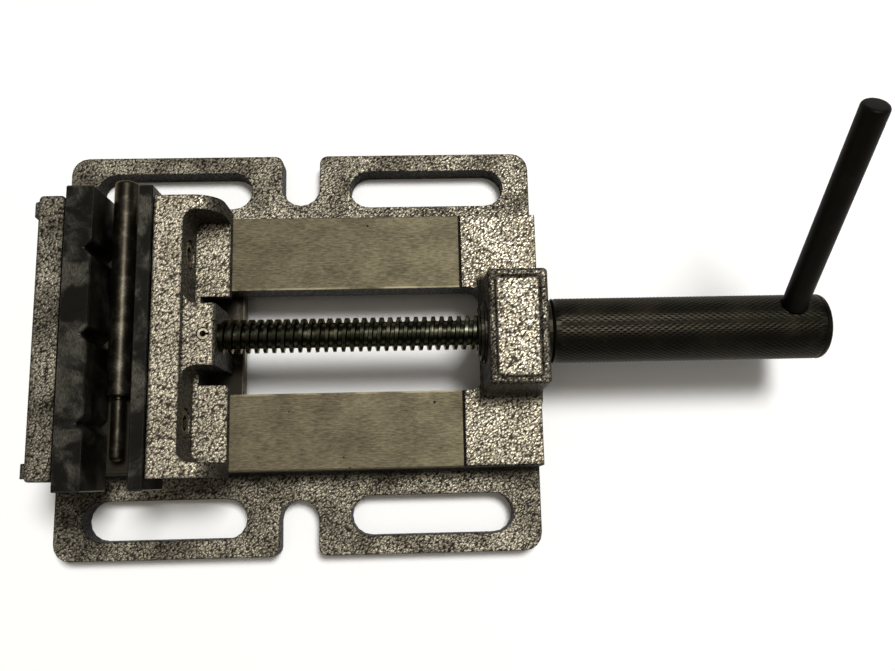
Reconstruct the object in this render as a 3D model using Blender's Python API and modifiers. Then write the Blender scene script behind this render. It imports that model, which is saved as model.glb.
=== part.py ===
"""Drill press vise with 104 mm jaw plates, and a spare crank bar lying between them.

The base casting carries the fixed jaw, the two machined ways and the bearing block. The movable
jaw slides along the ways and is held down by a keeper plate under them. Its lead screw doesn't
turn: it is pinned in the jaw and runs out through the block into the hollow knurled handle,
which is the nut. The thread is left-hand, so a clockwise turn of the crank closes the jaw.

Sizes are in metres. X runs from the fixed jaw to the handle, Y across the jaws and Z up. Every
place is worked out from the middle of the base, and VISE_X moves that middle so that the origin
lies under the middle of the whole vise.
"""

import math

import bmesh
import bpy
from mathutils import Matrix, Vector

# Gaps
SEAT_GAP = 0.0003
HOLE_CLEARANCE = 0.0003
TURNING_CLEARANCE = 0.0004
SLIDE_CLEARANCE = 0.0004

# Base flange with its bolt slots
BASE_LENGTH = 0.1795
BASE_WIDTH = 0.1545
FLANGE_THICKNESS = 0.0090
FLANGE_CORNER_RADIUS = 0.0065
CASTING_EDGE_RADIUS = 0.0010
SLOT_WIDTH = 0.0146
SLOT_LENGTH = 0.0603
SLOT_END_MARGIN = 0.0103
SLOT_SIDE_MARGIN = 0.0068
NOTCH_DEPTH = 0.0204
NOTCH_LIP_RADIUS = 0.0030

# Ways, and the hollow under them
WAY_HEIGHT = 0.0266
WAY_WIDTH = 0.0273
WINDOW_WIDTH = 0.0380
WINDOW_START = 0.0083
CAVITY_START = 0.0028
WINDOW_CORNER_RADIUS = 0.0040
RAIL_THICKNESS = 0.0116
BODY_FOOT_RADIUS = 0.0034
BODY_DRAFT = 0.0004
SIDE_WALL = 0.0130
WAY_EDGE_CHAMFER = 0.0005
RELIEF_WIDTH = 0.0008
RELIEF_DEPTH = 0.0006

# Deck and bearing block at the handle end
DECK_SETBACK = 0.0005
DECK_LENGTH = 0.0279
DECK_STEP = 0.0007
BLOCK_PROUD = 0.0003
BLOCK_LENGTH = 0.0205
BLOCK_WIDTH = 0.0397
BLOCK_HEIGHT = 0.0240
BLOCK_FOOT_RADIUS = 0.0045
BLOCK_DRAFT = 0.0008
BLOCK_CORNER_RADIUS = 0.0015
PANEL_MARGIN = 0.0021
PANEL_SLOPE = 0.0013
PANEL_DEPTH = 0.0012
PANEL_CORNER_RADIUS = 0.0012
SPOT_FACE_DEPTH = 0.0003
WINDOW_SETBACK = 0.0010

# Fixed jaw
JAW_SETBACK = 0.0061
JAW_HEIGHT = 0.0227
JAW_CASTING_WIDTH = 0.0970
UPRIGHT_THICKNESS = 0.0088
UPRIGHT_DRAFT = 0.0022
UPRIGHT_CORNER_RADIUS = 0.0015
RIB_WIDTH = 0.0050
RIB_INSET = 0.0012
RIB_REACH = 0.0034
RIB_DROP = 0.0029
RIB_EDGE_RADIUS = 0.0011

# Jaw plates
PLATE_LENGTH = 0.1040
FIXED_PLATE_THICKNESS = 0.0095
MOVABLE_PLATE_THICKNESS = 0.0050
PLATE_EDGE = 0.0004
GROOVE_DEPTH = 0.0027
GROOVE_SPACING = 0.0298

# Socket head cap screws of the plates
CAP_SCREW_DIAMETER = 0.0060
CAP_HEAD_DIAMETER = 0.0100
CAP_HEAD_HEIGHT = 0.0060
CAP_SOCKET_WIDTH = 0.0050
CAP_SOCKET_DEPTH = 0.0030
CAP_SCREW_SPACING = 0.0592
CAP_SCREW_RISE = 0.0119
HEAD_RECESS = 0.0004
FIXED_SCREW_ENGAGEMENT = 0.0050
MOVABLE_SCREW_ENGAGEMENT = 0.0046
FIXED_SCREW_WEB = 0.0040

# Movable jaw
JAW_OPENING = 0.0150
JAW_BODY_LENGTH = 0.0224
JAW_WALL = 0.0102
JAW_SHOULDER_RADIUS = 0.0092
JAW_EDGE_RADIUS = 0.0012
JAW_FLOOR = 0.0041
POCKET_CORNER_RADIUS = 0.0042
POCKET_FOOT_RADIUS = 0.0034
END_WALL = 0.0050
SCREW_BOSS_WIDTH = 0.0212
SCREW_BOSS_SETBACK = 0.0014
SCREW_BOSS_DROP = 0.0033
FOOT_GAP_WIDTH = 0.0320
TONGUE_LENGTH = 0.0122

# Keeper plate under the ways, with its two bolts
KEEPER_THICKNESS = 0.0052
KEEPER_WIDTH = 0.0540
KEEPER_LENGTH = 0.0272
KEEPER_OVERHANG = 0.0024
KEEPER_BOLT_DIAMETER = 0.0060
KEEPER_BOLT_SPACING = 0.0240
KEEPER_BOLT_HEAD = 0.0040
KEEPER_BOLT_FLATS = 0.0100
KEEPER_BOLT_ENGAGEMENT = 0.0070
WASHER_THICKNESS = 0.0012
WASHER_WALL = 0.0027

# Lead screw, left-hand
SCREW_RISE = 0.0113
SCREW_DIAMETER = 0.0120
THREAD_PITCH = 0.0030
THREAD_DEPTH = 0.0016
THREAD_CREST = 0.0011
THREAD_FLANK = 0.0004
THREAD_STEPS = 16
JOURNAL_DIAMETER = 0.0090
JOURNAL_LENGTH = 0.0172
SCREW_ENGAGEMENT = 0.0192
SCREW_CHAMFER = 0.0010
LOCK_PIN_DIAMETER = 0.0038
LOCK_PIN_WALL = 0.0008
LOCK_PIN_SLIT = 0.0006
LOCK_PIN_REACH = 0.0016
LOCK_PIN_SETBACK = 0.0040

# Knurled handle, its bearing and its crank
NECK_DIAMETER = 0.0170
HANDLE_DIAMETER = 0.0228
HANDLE_END_RADIUS = 0.0020
HANDLE_START_CHAMFER = 0.0006
HANDLE_END_LENGTH = 0.0126
HANDLE_SOLID_WALL = 0.0020
THRUST_WASHER_THICKNESS = 0.0012
INNER_WASHER_THICKNESS = 0.0010
INNER_WASHER_WALL = 0.0018
RETAINING_RING_THICKNESS = 0.0009
RETAINING_RING_WALL = 0.0020
RETAINING_RING_OPENING = math.radians(60)
GROOVE_CUT = 0.0008
GROOVE_PLAY = 0.0003
NECK_LIP = 0.0007

# Crank bar, and the spare one that lies between the jaws
CRANK_DIAMETER = 0.0086
CRANK_LENGTH = 0.0782
CRANK_LEAN = math.radians(34.8)
CRANK_TIP_RADIUS = 0.0012
CRANK_SEAT_DEPTH = 0.0014
CRANK_HOLE_COUNTERSINK = 0.0006
SPIGOT_DIAMETER = 0.0050
SPIGOT_LENGTH = 0.0225
SPIGOT_TIP_RADIUS = 0.0016
SPIGOT_UNDERCUT = 0.0005
SPARE_BAR_GAP = 0.0007
SPARE_BAR_SHIFT = 0.0085

# Facets
ROUND_STEPS = 32
HOLE_STEPS = 24
CORNER_STEPS = 4

# Places along X
BASE_REAR_X = -BASE_LENGTH / 2
DECK_END_X = BASE_LENGTH / 2 - DECK_SETBACK
DECK_START_X = DECK_END_X - DECK_LENGTH
BLOCK_END_X = DECK_END_X + BLOCK_PROUD
UPRIGHT_REAR_X = BASE_REAR_X + JAW_SETBACK
UPRIGHT_FACE_X = UPRIGHT_REAR_X + UPRIGHT_THICKNESS
FIXED_PLATE_BACK_X = UPRIGHT_FACE_X + SEAT_GAP
FIXED_FACE_X = FIXED_PLATE_BACK_X + FIXED_PLATE_THICKNESS
MOVABLE_FACE_X = FIXED_FACE_X + JAW_OPENING
MOVABLE_PLATE_BACK_X = MOVABLE_FACE_X + MOVABLE_PLATE_THICKNESS
JAW_FRONT_X = MOVABLE_PLATE_BACK_X + SEAT_GAP
JAW_REAR_X = JAW_FRONT_X + JAW_BODY_LENGTH
JAW_WALL_X = JAW_FRONT_X + JAW_WALL
BOSS_FACE_X = JAW_REAR_X - SCREW_BOSS_SETBACK
JAW_TRAVEL = DECK_START_X - SEAT_GAP - JAW_REAR_X
BLOCK_FACE_X = BLOCK_END_X - BLOCK_LENGTH
BEARING_FACE_X = BLOCK_FACE_X + SPOT_FACE_DEPTH
WINDOW_END_X = BLOCK_FACE_X - WINDOW_SETBACK
WINDOW_START_X = FIXED_FACE_X + WINDOW_START
INNER_WASHER_X = BEARING_FACE_X - SEAT_GAP - INNER_WASHER_THICKNESS
RETAINING_RING_X = INNER_WASHER_X - SEAT_GAP - RETAINING_RING_THICKNESS
GROOVE_START_X = RETAINING_RING_X - GROOVE_PLAY
GROOVE_END_X = RETAINING_RING_X + RETAINING_RING_THICKNESS + GROOVE_PLAY
NECK_START_X = GROOVE_START_X - NECK_LIP
THRUST_WASHER_X = BLOCK_END_X + SEAT_GAP
HANDLE_START_X = THRUST_WASHER_X + THRUST_WASHER_THICKNESS + SEAT_GAP
SCREW_START_X = BOSS_FACE_X + SEAT_GAP
SCREW_END_X = NECK_START_X + SCREW_ENGAGEMENT
BORE_END_X = SCREW_END_X + JAW_TRAVEL + HOLE_CLEARANCE
CRANK_HOLE_RADIUS = CRANK_DIAMETER / 2 + HOLE_CLEARANCE
CRANK_X = BORE_END_X + HANDLE_SOLID_WALL + CRANK_HOLE_RADIUS
HANDLE_END_X = CRANK_X + HANDLE_END_LENGTH
VISE_X = -(BASE_REAR_X + HANDLE_END_X) / 2

# Places along Y and Z
WINDOW_HALF = WINDOW_WIDTH / 2
WAY_OUTER_Y = WINDOW_HALF + WAY_WIDTH
BODY_FOOT_Y = WAY_OUTER_Y + BODY_DRAFT + BODY_FOOT_RADIUS
RAIL_UNDERSIDE_Z = WAY_HEIGHT - RAIL_THICKNESS
DECK_Z = WAY_HEIGHT + DECK_STEP
BLOCK_TOP_Z = DECK_Z + BLOCK_HEIGHT
JAW_TOP_Z = WAY_HEIGHT + JAW_HEIGHT
JAW_FOOT_Z = WAY_HEIGHT + SEAT_GAP
PLATE_FOOT_Z = WAY_HEIGHT + SLIDE_CLEARANCE
SCREW_Z = WAY_HEIGHT + SCREW_RISE
CAP_SCREW_Z = WAY_HEIGHT + CAP_SCREW_RISE
KEEPER_TOP_Z = RAIL_UNDERSIDE_Z - SEAT_GAP
KEEPER_FOOT_Z = KEEPER_TOP_Z - KEEPER_THICKNESS
KEEPER_FRONT_X = JAW_REAR_X + KEEPER_OVERHANG - KEEPER_LENGTH
TONGUE_END_X = JAW_FRONT_X + TONGUE_LENGTH
KEEPER_BOLT_X = (JAW_FRONT_X + TONGUE_END_X) / 2
LOCK_PIN_X = BOSS_FACE_X - LOCK_PIN_SETBACK
SPARE_BAR_X = FIXED_FACE_X + SPARE_BAR_GAP + CRANK_DIAMETER / 2
SPARE_BAR_Z = WAY_HEIGHT + SEAT_GAP + CRANK_DIAMETER / 2


def clear_scene():
    """Remove every object of the file that the script starts in."""
    for thing in list(bpy.data.objects):
        bpy.data.objects.remove(thing)


def collection(name):
    """Add a collection to the scene."""
    group = bpy.data.collections.new(name)
    bpy.context.scene.collection.children.link(group)
    return group


def material(name, colour, metallic, roughness):
    """A plain Principled material."""
    paint = bpy.data.materials.new(name)
    paint.use_nodes = True
    shader = paint.node_tree.nodes["Principled BSDF"]
    shader.inputs["Base Color"].default_value = (*colour, 1)
    shader.inputs["Metallic"].default_value = metallic
    shader.inputs["Roughness"].default_value = roughness
    return paint


def empty(name, location, parent=None):
    """An empty that pieces are parented to."""
    holder = bpy.data.objects.new(name, None)
    holder.location = location
    holder.parent = parent
    VISE.objects.link(holder)
    return holder


def smooth(mesh):
    """Shade round surfaces smooth and keep the edges over 35 degrees sharp."""
    mesh.shade_smooth()
    mesh.set_sharp_from_angle(angle=math.radians(35))


def piece(name, mesh, finish, parent, location=(0, 0, 0)):
    """Add a node: its own object with its own material, under one of the empties."""
    thing = bpy.data.objects.new(name, mesh)
    thing.location = location
    thing.parent = parent
    mesh.materials.clear()
    mesh.materials.append(finish)
    smooth(mesh)
    VISE.objects.link(thing)
    return thing


def helper(name, mesh, parent, location=(0, 0, 0)):
    """Add a shape that is only cut from a piece, or joined to it."""
    thing = bpy.data.objects.new(name, mesh)
    thing.location = location
    thing.parent = parent
    thing.hide_render = True
    thing.display_type = "WIRE"
    HELPERS.objects.link(thing)
    return thing


def shape_with(target, mesh, operation):
    """Cut a mesh from a piece, or join it on, in the piece's own place."""
    tool = helper(f"{target.name}_{operation.lower()}", mesh, target.parent, target.location)
    change = target.modifiers.new(tool.name, "BOOLEAN")
    change.operation = operation
    change.solver = "EXACT"
    change.object = tool
    return tool


def cut(target, mesh):
    """Cut a mesh from a piece."""
    return shape_with(target, mesh, "DIFFERENCE")


def join(target, mesh):
    """Join a mesh to a piece."""
    return shape_with(target, mesh, "UNION")


def arc(centre, radius, start, end, steps=CORNER_STEPS):
    """Points of an arc, from one angle in degrees to another."""
    turns = [math.radians(start + (end - start) * step / steps) for step in range(steps + 1)]
    return [(centre[0] + radius * math.cos(a), centre[1] + radius * math.sin(a)) for a in turns]


def rounded_rectangle(low, high, radius):
    """Outline of a rectangle between two corners, with round corners."""
    (x0, y0), (x1, y1) = low, high
    corners = [(x1, y1, 0), (x0, y1, 90), (x0, y0, 180), (x1, y0, 270)]
    outline = []
    for x, y, turn in corners:
        inward = (x - radius if x == x1 else x + radius, y - radius if y == y1 else y + radius)
        outline += arc(inward, radius, turn, turn + 90)
    return outline


# Where the local X, Y and thickness directions of a flat outline point
ALONG_Z = Matrix(((1, 0, 0), (0, 1, 0), (0, 0, 1)))
ALONG_X = Matrix(((0, 0, 1), (1, 0, 0), (0, 1, 0)))
ALONG_Y = Matrix(((1, 0, 0), (0, 0, -1), (0, 1, 0)))


def slab(loops, start, end, direction=ALONG_Z):
    """A flat outline, with any holes in it, given its thickness from start to end."""
    curve = bpy.data.curves.new("outline", "CURVE")
    curve.dimensions = "2D"
    curve.fill_mode = "BOTH"
    curve.extrude = (end - start) / 2
    for points in loops:
        spline = curve.splines.new("POLY")
        spline.points.add(len(points) - 1)
        for knot, (x, y) in zip(spline.points, points):
            knot.co = (x, y, 0, 1)
        spline.use_cyclic_u = True
    guide = bpy.data.objects.new("outline", curve)
    bpy.context.scene.collection.objects.link(guide)
    graph = bpy.context.evaluated_depsgraph_get()
    mesh = bpy.data.meshes.new_from_object(guide.evaluated_get(graph))
    bpy.data.objects.remove(guide)
    middle = Vector((0, 0, (start + end) / 2))
    form = bmesh.new()
    form.from_mesh(mesh)
    bmesh.ops.translate(form, verts=form.verts, vec=middle)
    bmesh.ops.transform(form, matrix=direction.to_4x4(), verts=form.verts)
    bmesh.ops.remove_doubles(form, verts=form.verts, dist=1e-6)
    bmesh.ops.recalc_face_normals(form, faces=form.faces)
    form.to_mesh(mesh)
    form.free()
    return mesh


def box(low, high):
    """A box between two corners."""
    form = bmesh.new()
    bmesh.ops.create_cube(form, size=1)
    size = [b - a for a, b in zip(low, high)]
    bmesh.ops.scale(form, vec=size, verts=form.verts)
    centre = [(a + b) / 2 for a, b in zip(low, high)]
    bmesh.ops.translate(form, vec=centre, verts=form.verts)
    mesh = bpy.data.meshes.new("box")
    form.to_mesh(mesh)
    form.free()
    return mesh


def rod(start, end, radius, end_radius=None, steps=HOLE_STEPS):
    """A cylinder, or a cone, from one point to another."""
    start, end = Vector(start), Vector(end)
    span = end - start
    form = bmesh.new()
    last = radius if end_radius is None else end_radius
    turn = span.to_track_quat("Z", "Y").to_matrix().to_4x4()
    place = Matrix.Translation((start + end) / 2) @ turn
    bmesh.ops.create_cone(form, cap_ends=True, segments=steps, radius1=radius, radius2=last,
                          depth=span.length, matrix=place)
    mesh = bpy.data.meshes.new("rod")
    form.to_mesh(mesh)
    form.free()
    return mesh


def turned(name, profile, finish, parent, location, turn, steps=ROUND_STEPS):
    """A piece turned from (length, radius) points, listed down its outer side from the top."""
    form = bmesh.new()
    knots = [form.verts.new((radius, 0, length)) for length, radius in profile]
    for one, two in zip(knots, knots[1:]):
        form.edges.new((one, two))
    mesh = bpy.data.meshes.new(name)
    form.to_mesh(mesh)
    form.free()
    thing = piece(name, mesh, finish, parent, location)
    thing.rotation_euler = turn
    spin = thing.modifiers.new("turning", "SCREW")
    spin.steps = steps
    spin.render_steps = steps
    spin.use_merge_vertices = True
    spin.merge_threshold = 1e-6
    spin.use_smooth_shade = True
    return thing


def loft(sections):
    """A solid through round-cornered rectangles, each (low x, high x, half width, z, radius)."""
    form = bmesh.new()
    rings = []
    for low, high, half, z, radius in sections:
        outline = rounded_rectangle((low, -half), (high, half), radius)
        rings.append([form.verts.new((x, y, z)) for x, y in outline])
    for lower, upper in zip(rings, rings[1:]):
        for i, corner in enumerate(lower):
            after = (i + 1) % len(lower)
            form.faces.new((corner, lower[after], upper[after], upper[i]))
    form.faces.new(reversed(rings[0]))
    form.faces.new(rings[-1])
    mesh = bpy.data.meshes.new("loft")
    form.to_mesh(mesh)
    form.free()
    return mesh


def soften(target, width, segments=1):
    """Round the piece's edges before it is cut or joined."""
    bevel = target.modifiers.new("edges", "BEVEL")
    bevel.width = width
    bevel.segments = segments
    bevel.limit_method = "ANGLE"
    bevel.angle_limit = math.radians(40)


def flange_outline():
    """The flange seen from above: round corners and one open slot in the middle of each side."""
    half_x, half_y = BASE_LENGTH / 2, BASE_WIDTH / 2
    radius, lip = FLANGE_CORNER_RADIUS, NOTCH_LIP_RADIUS
    slot = SLOT_WIDTH / 2
    top = arc((half_x - radius, half_y - radius), radius, 0, 90)
    top += arc((slot + lip, half_y - lip), lip, 90, 180)
    top += arc((0, half_y - NOTCH_DEPTH + slot), slot, 0, -180, 2 * CORNER_STEPS)
    top += arc((-slot - lip, half_y - lip), lip, 0, 90)
    top += arc((-half_x + radius, half_y - radius), radius, 90, 180)
    return top + [(-x, -y) for x, y in top]


def slot_outline(side_x, side_y):
    """One closed slot of the flange: a run with round ends."""
    reach = BASE_LENGTH / 2 - SLOT_END_MARGIN - SLOT_LENGTH / 2
    x = side_x * reach
    y = side_y * (BASE_WIDTH / 2 - SLOT_SIDE_MARGIN - SLOT_WIDTH / 2)
    run = (SLOT_LENGTH - SLOT_WIDTH) / 2
    right = arc((x + run, y), SLOT_WIDTH / 2, -90, 90, 2 * CORNER_STEPS)
    left = arc((x - run, y), SLOT_WIDTH / 2, 90, 270, 2 * CORNER_STEPS)
    return right + left


def body_section():
    """Half of the cross-section of the ways' outer walls, from the flange up to the way."""
    foot = arc((BODY_FOOT_Y, FLANGE_THICKNESS + BODY_FOOT_RADIUS), BODY_FOOT_RADIUS, 270, 180)
    edge = [(WAY_OUTER_Y, WAY_HEIGHT - WAY_EDGE_CHAMFER),
            (WAY_OUTER_Y - WAY_EDGE_CHAMFER, WAY_HEIGHT)]
    return [(BODY_FOOT_Y, FLANGE_THICKNESS / 2)] + foot + edge


def mirrored(points):
    """An outline from its half at +X, listed from the bottom to the top."""
    return points + [(-x, y) for x, y in reversed(points)]


def block_sections():
    """The bearing block: a round foot on the deck, drafted sides and a softened top."""
    half = BLOCK_WIDTH / 2
    rounds = BLOCK_CORNER_RADIUS
    sections = [(BLOCK_FACE_X - BLOCK_DRAFT - BLOCK_FOOT_RADIUS / 2, half + BLOCK_DRAFT
                 + BLOCK_FOOT_RADIUS, WAY_HEIGHT - BLOCK_FOOT_RADIUS)]
    for step in range(CORNER_STEPS + 1):
        bend = math.radians(90 * step / CORNER_STEPS)
        spread = BLOCK_FOOT_RADIUS * (1 - math.sin(bend))
        rise = BLOCK_FOOT_RADIUS * (1 - math.cos(bend))
        sections.append((BLOCK_FACE_X - BLOCK_DRAFT - spread / 2, half + BLOCK_DRAFT + spread,
                         DECK_Z + rise))
    for inset, drop in ((0, 1), (0.3, 0.3), (1, 0)):
        edge = inset * CASTING_EDGE_RADIUS
        sections.append((BLOCK_FACE_X + edge, half - edge, BLOCK_TOP_Z - drop * CASTING_EDGE_RADIUS))
    ends = [BLOCK_END_X] * (len(sections) - 2)
    ends += [BLOCK_END_X - 0.3 * CASTING_EDGE_RADIUS, BLOCK_END_X - CASTING_EDGE_RADIUS]
    return [(low, high, side, z, rounds) for (low, side, z), high in zip(sections, ends)]


def upright_sections():
    """The fixed jaw's casting: thicker at its foot, softened along its top."""
    half = JAW_CASTING_WIDTH / 2
    foot = FLANGE_THICKNESS / 2
    edge = CASTING_EDGE_RADIUS
    rounds = UPRIGHT_CORNER_RADIUS
    sections = [(UPRIGHT_REAR_X - UPRIGHT_DRAFT, half, foot), (UPRIGHT_REAR_X, half, JAW_TOP_Z - edge),
                (UPRIGHT_REAR_X + 0.3 * edge, half - 0.3 * edge, JAW_TOP_Z - 0.3 * edge),
                (UPRIGHT_REAR_X + edge, half - edge, JAW_TOP_Z)]
    return [(low, UPRIGHT_FACE_X, side, z, rounds) for low, side, z in sections]


def rib_outline():
    """A gusset behind the fixed jaw, seen from the side: it stands on the flange."""
    top_z = JAW_TOP_Z - RIB_DROP
    inside = UPRIGHT_REAR_X + 2 * RIB_EDGE_RADIUS
    shoulder = arc((UPRIGHT_REAR_X, top_z - RIB_REACH), RIB_REACH, 90, 180)
    foot = (UPRIGHT_REAR_X - RIB_REACH, FLANGE_THICKNESS / 2)
    return [(inside, FLANGE_THICKNESS / 2), (inside, top_z)] + shoulder + [foot]


def base_casting(parent):
    """The base in one casting, with its ways, fixed jaw, deck and bearing block."""
    mesh = slab([flange_outline()], 0, FLANGE_THICKNESS)
    base = piece("base_casting", mesh, HAMMERTONE, parent)
    for x, y in ((-1, -1), (-1, 1), (1, -1), (1, 1)):
        cut(base, slab([slot_outline(x, y)], -FLANGE_THICKNESS, 2 * FLANGE_THICKNESS))
    soften(base, CASTING_EDGE_RADIUS)
    join(base, slab([mirrored(body_section())], UPRIGHT_REAR_X, DECK_END_X, ALONG_X))
    deck_half = WAY_OUTER_Y - WAY_EDGE_CHAMFER
    join(base, box((DECK_START_X, -deck_half, RAIL_UNDERSIDE_Z),
                   (DECK_END_X - CASTING_EDGE_RADIUS / 4, deck_half, DECK_Z)))
    join(base, loft(upright_sections()))
    rib_y = JAW_CASTING_WIDTH / 2 - RIB_INSET - RIB_WIDTH
    for start in (rib_y, -rib_y - RIB_WIDTH):
        soften(join(base, slab([rib_outline()], -start - RIB_WIDTH, -start, ALONG_Y)),
               RIB_EDGE_RADIUS)
    join(base, loft(block_sections()))
    spot_radius = NECK_DIAMETER / 2 + TURNING_CLEARANCE + INNER_WASHER_WALL + SLIDE_CLEARANCE
    cut(base, rod((BEARING_FACE_X - BLOCK_LENGTH / 2, 0, SCREW_Z), (BEARING_FACE_X, 0, SCREW_Z),
                  spot_radius, steps=ROUND_STEPS))
    cavity_y = BODY_FOOT_Y - SIDE_WALL - BODY_FOOT_RADIUS
    cavity_x = FIXED_FACE_X + CAVITY_START
    cut(base, box((cavity_x, -cavity_y, -RAIL_UNDERSIDE_Z),
                  (BLOCK_FACE_X, cavity_y, RAIL_UNDERSIDE_Z)))
    window = rounded_rectangle((WINDOW_START_X, -WINDOW_HALF), (WINDOW_END_X, WINDOW_HALF),
                               WINDOW_CORNER_RADIUS)
    cut(base, slab([window], -RAIL_UNDERSIDE_Z, DECK_Z + DECK_STEP))
    cut(base, loft([(BLOCK_FACE_X + margin, BLOCK_END_X - margin, BLOCK_WIDTH / 2 - margin,
                     BLOCK_TOP_Z + rise, PANEL_CORNER_RADIUS)
                    for margin, rise in ((PANEL_MARGIN + PANEL_SLOPE, -PANEL_DEPTH),
                                         (PANEL_MARGIN, 0),
                                         (PANEL_MARGIN - PANEL_SLOPE, PANEL_DEPTH))]))
    relief_half = WAY_OUTER_Y + SIDE_WALL
    cut(base, box((DECK_START_X - RELIEF_WIDTH, -relief_half, WAY_HEIGHT - RELIEF_DEPTH),
                  (DECK_START_X + RELIEF_DEPTH / 4, relief_half, DECK_Z + DECK_STEP)))
    bore = NECK_DIAMETER / 2 + TURNING_CLEARANCE
    cut(base, rod((BLOCK_FACE_X - BLOCK_LENGTH, 0, SCREW_Z), (BLOCK_END_X + BLOCK_LENGTH, 0, SCREW_Z),
                  bore, steps=ROUND_STEPS))
    for y in (-CAP_SCREW_SPACING / 2, CAP_SCREW_SPACING / 2):
        hole = CAP_SCREW_DIAMETER / 2 + HOLE_CLEARANCE
        cut(base, rod((BASE_REAR_X, y, CAP_SCREW_Z), (FIXED_FACE_X, y, CAP_SCREW_Z), hole))
        seat = UPRIGHT_FACE_X - FIXED_SCREW_WEB
        recess = CAP_HEAD_DIAMETER / 2 + HOLE_CLEARANCE
        cut(base, rod((BASE_REAR_X, y, CAP_SCREW_Z), (seat, y, CAP_SCREW_Z), recess))
    return base


def groove_outline():
    """The fixed plate seen from above: three V grooves stand upright in its clamping face."""
    half = PLATE_LENGTH / 2
    outline = [(FIXED_PLATE_BACK_X, half), (FIXED_PLATE_BACK_X, -half), (FIXED_FACE_X, -half)]
    for y in (-GROOVE_SPACING, 0, GROOVE_SPACING):
        outline += [(FIXED_FACE_X, y - GROOVE_DEPTH), (FIXED_FACE_X - GROOVE_DEPTH, y),
                    (FIXED_FACE_X, y + GROOVE_DEPTH)]
    return outline + [(FIXED_FACE_X, half)]


def drill_plate(plate, start_x, end_x):
    """The two screw holes of a jaw plate, from one place along X to another."""
    for y in (-CAP_SCREW_SPACING / 2, CAP_SCREW_SPACING / 2):
        cut(plate, rod((start_x, y, CAP_SCREW_Z), (end_x, y, CAP_SCREW_Z),
                       CAP_SCREW_DIAMETER / 2 + HOLE_CLEARANCE))


def jaw_plates(base_parent, jaw_parent):
    """Both plates: the thick fixed one with V grooves, and the plain movable one."""
    fixed = piece("fixed_jaw_plate", slab([groove_outline()], PLATE_FOOT_Z, JAW_TOP_Z),
                  BLACK_OXIDE, base_parent)
    soften(fixed, PLATE_EDGE)
    hole_end = FIXED_PLATE_BACK_X + FIXED_SCREW_ENGAGEMENT + HOLE_CLEARANCE
    drill_plate(fixed, UPRIGHT_REAR_X, hole_end)
    half = PLATE_LENGTH / 2
    mesh = box((MOVABLE_FACE_X, -half, PLATE_FOOT_Z), (MOVABLE_PLATE_BACK_X, half, JAW_TOP_Z))
    movable = piece("movable_jaw_plate", mesh, BLACK_OXIDE, jaw_parent)
    soften(movable, PLATE_EDGE)
    drill_plate(movable, MOVABLE_FACE_X - MOVABLE_PLATE_THICKNESS, JAW_WALL_X)


def cap_screw(name, head_x, tip_x, y, parent):
    """A socket head cap screw along X, from the seat of its head to its tip."""
    way = 1 if tip_x > head_x else -1
    length = abs(tip_x - head_x)
    head, shank = CAP_HEAD_DIAMETER / 2, CAP_SCREW_DIAMETER / 2
    ease = CAP_SCREW_DIAMETER / 12
    profile = [(CAP_HEAD_HEIGHT, 0), (CAP_HEAD_HEIGHT, head - ease), (CAP_HEAD_HEIGHT - ease, head),
               (0, head), (0, shank), (ease - length, shank), (-length, shank - ease), (-length, 0)]
    turn = (0, -way * math.pi / 2, 0)
    screw = turned(name, profile, SCREW_STEEL, parent, (head_x, y, CAP_SCREW_Z), turn, HOLE_STEPS)
    socket = rod((0, 0, CAP_HEAD_HEIGHT - CAP_SOCKET_DEPTH), (0, 0, CAP_HEAD_HEIGHT * 2),
                 CAP_SOCKET_WIDTH / math.sqrt(3), steps=6)
    tool = helper(f"{name}_socket", socket, parent, screw.location)
    tool.rotation_euler = turn
    change = screw.modifiers.new("socket", "BOOLEAN")
    change.solver = "EXACT"
    change.object = tool


def cap_screws(base_parent, jaw_parent):
    """Two screws hold each plate, from behind its casting."""
    for side, y in (("front", -CAP_SCREW_SPACING / 2), ("back", CAP_SCREW_SPACING / 2)):
        seat = UPRIGHT_FACE_X - FIXED_SCREW_WEB - SEAT_GAP
        tip = FIXED_PLATE_BACK_X + FIXED_SCREW_ENGAGEMENT
        cap_screw(f"fixed_jaw_screw_{side}", seat, tip, y, base_parent)
        seat = JAW_WALL_X - HEAD_RECESS - CAP_HEAD_HEIGHT
        tip = MOVABLE_PLATE_BACK_X - MOVABLE_SCREW_ENGAGEMENT
        cap_screw(f"movable_jaw_screw_{side}", seat, tip, y, jaw_parent)


def jaw_profile():
    """The movable jaw seen from its end: its wall and the round shoulder of the end walls."""
    edge = JAW_EDGE_RADIUS
    shoulder = JAW_SHOULDER_RADIUS
    front = arc((JAW_FRONT_X + edge, JAW_TOP_Z - edge), edge, 180, 90)
    rear = arc((JAW_REAR_X - shoulder, JAW_TOP_Z - shoulder), shoulder, 90, 0, 2 * CORNER_STEPS)
    return [(JAW_FRONT_X, JAW_FOOT_Z)] + front + rear + [(JAW_REAR_X, JAW_FOOT_Z)]


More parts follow.
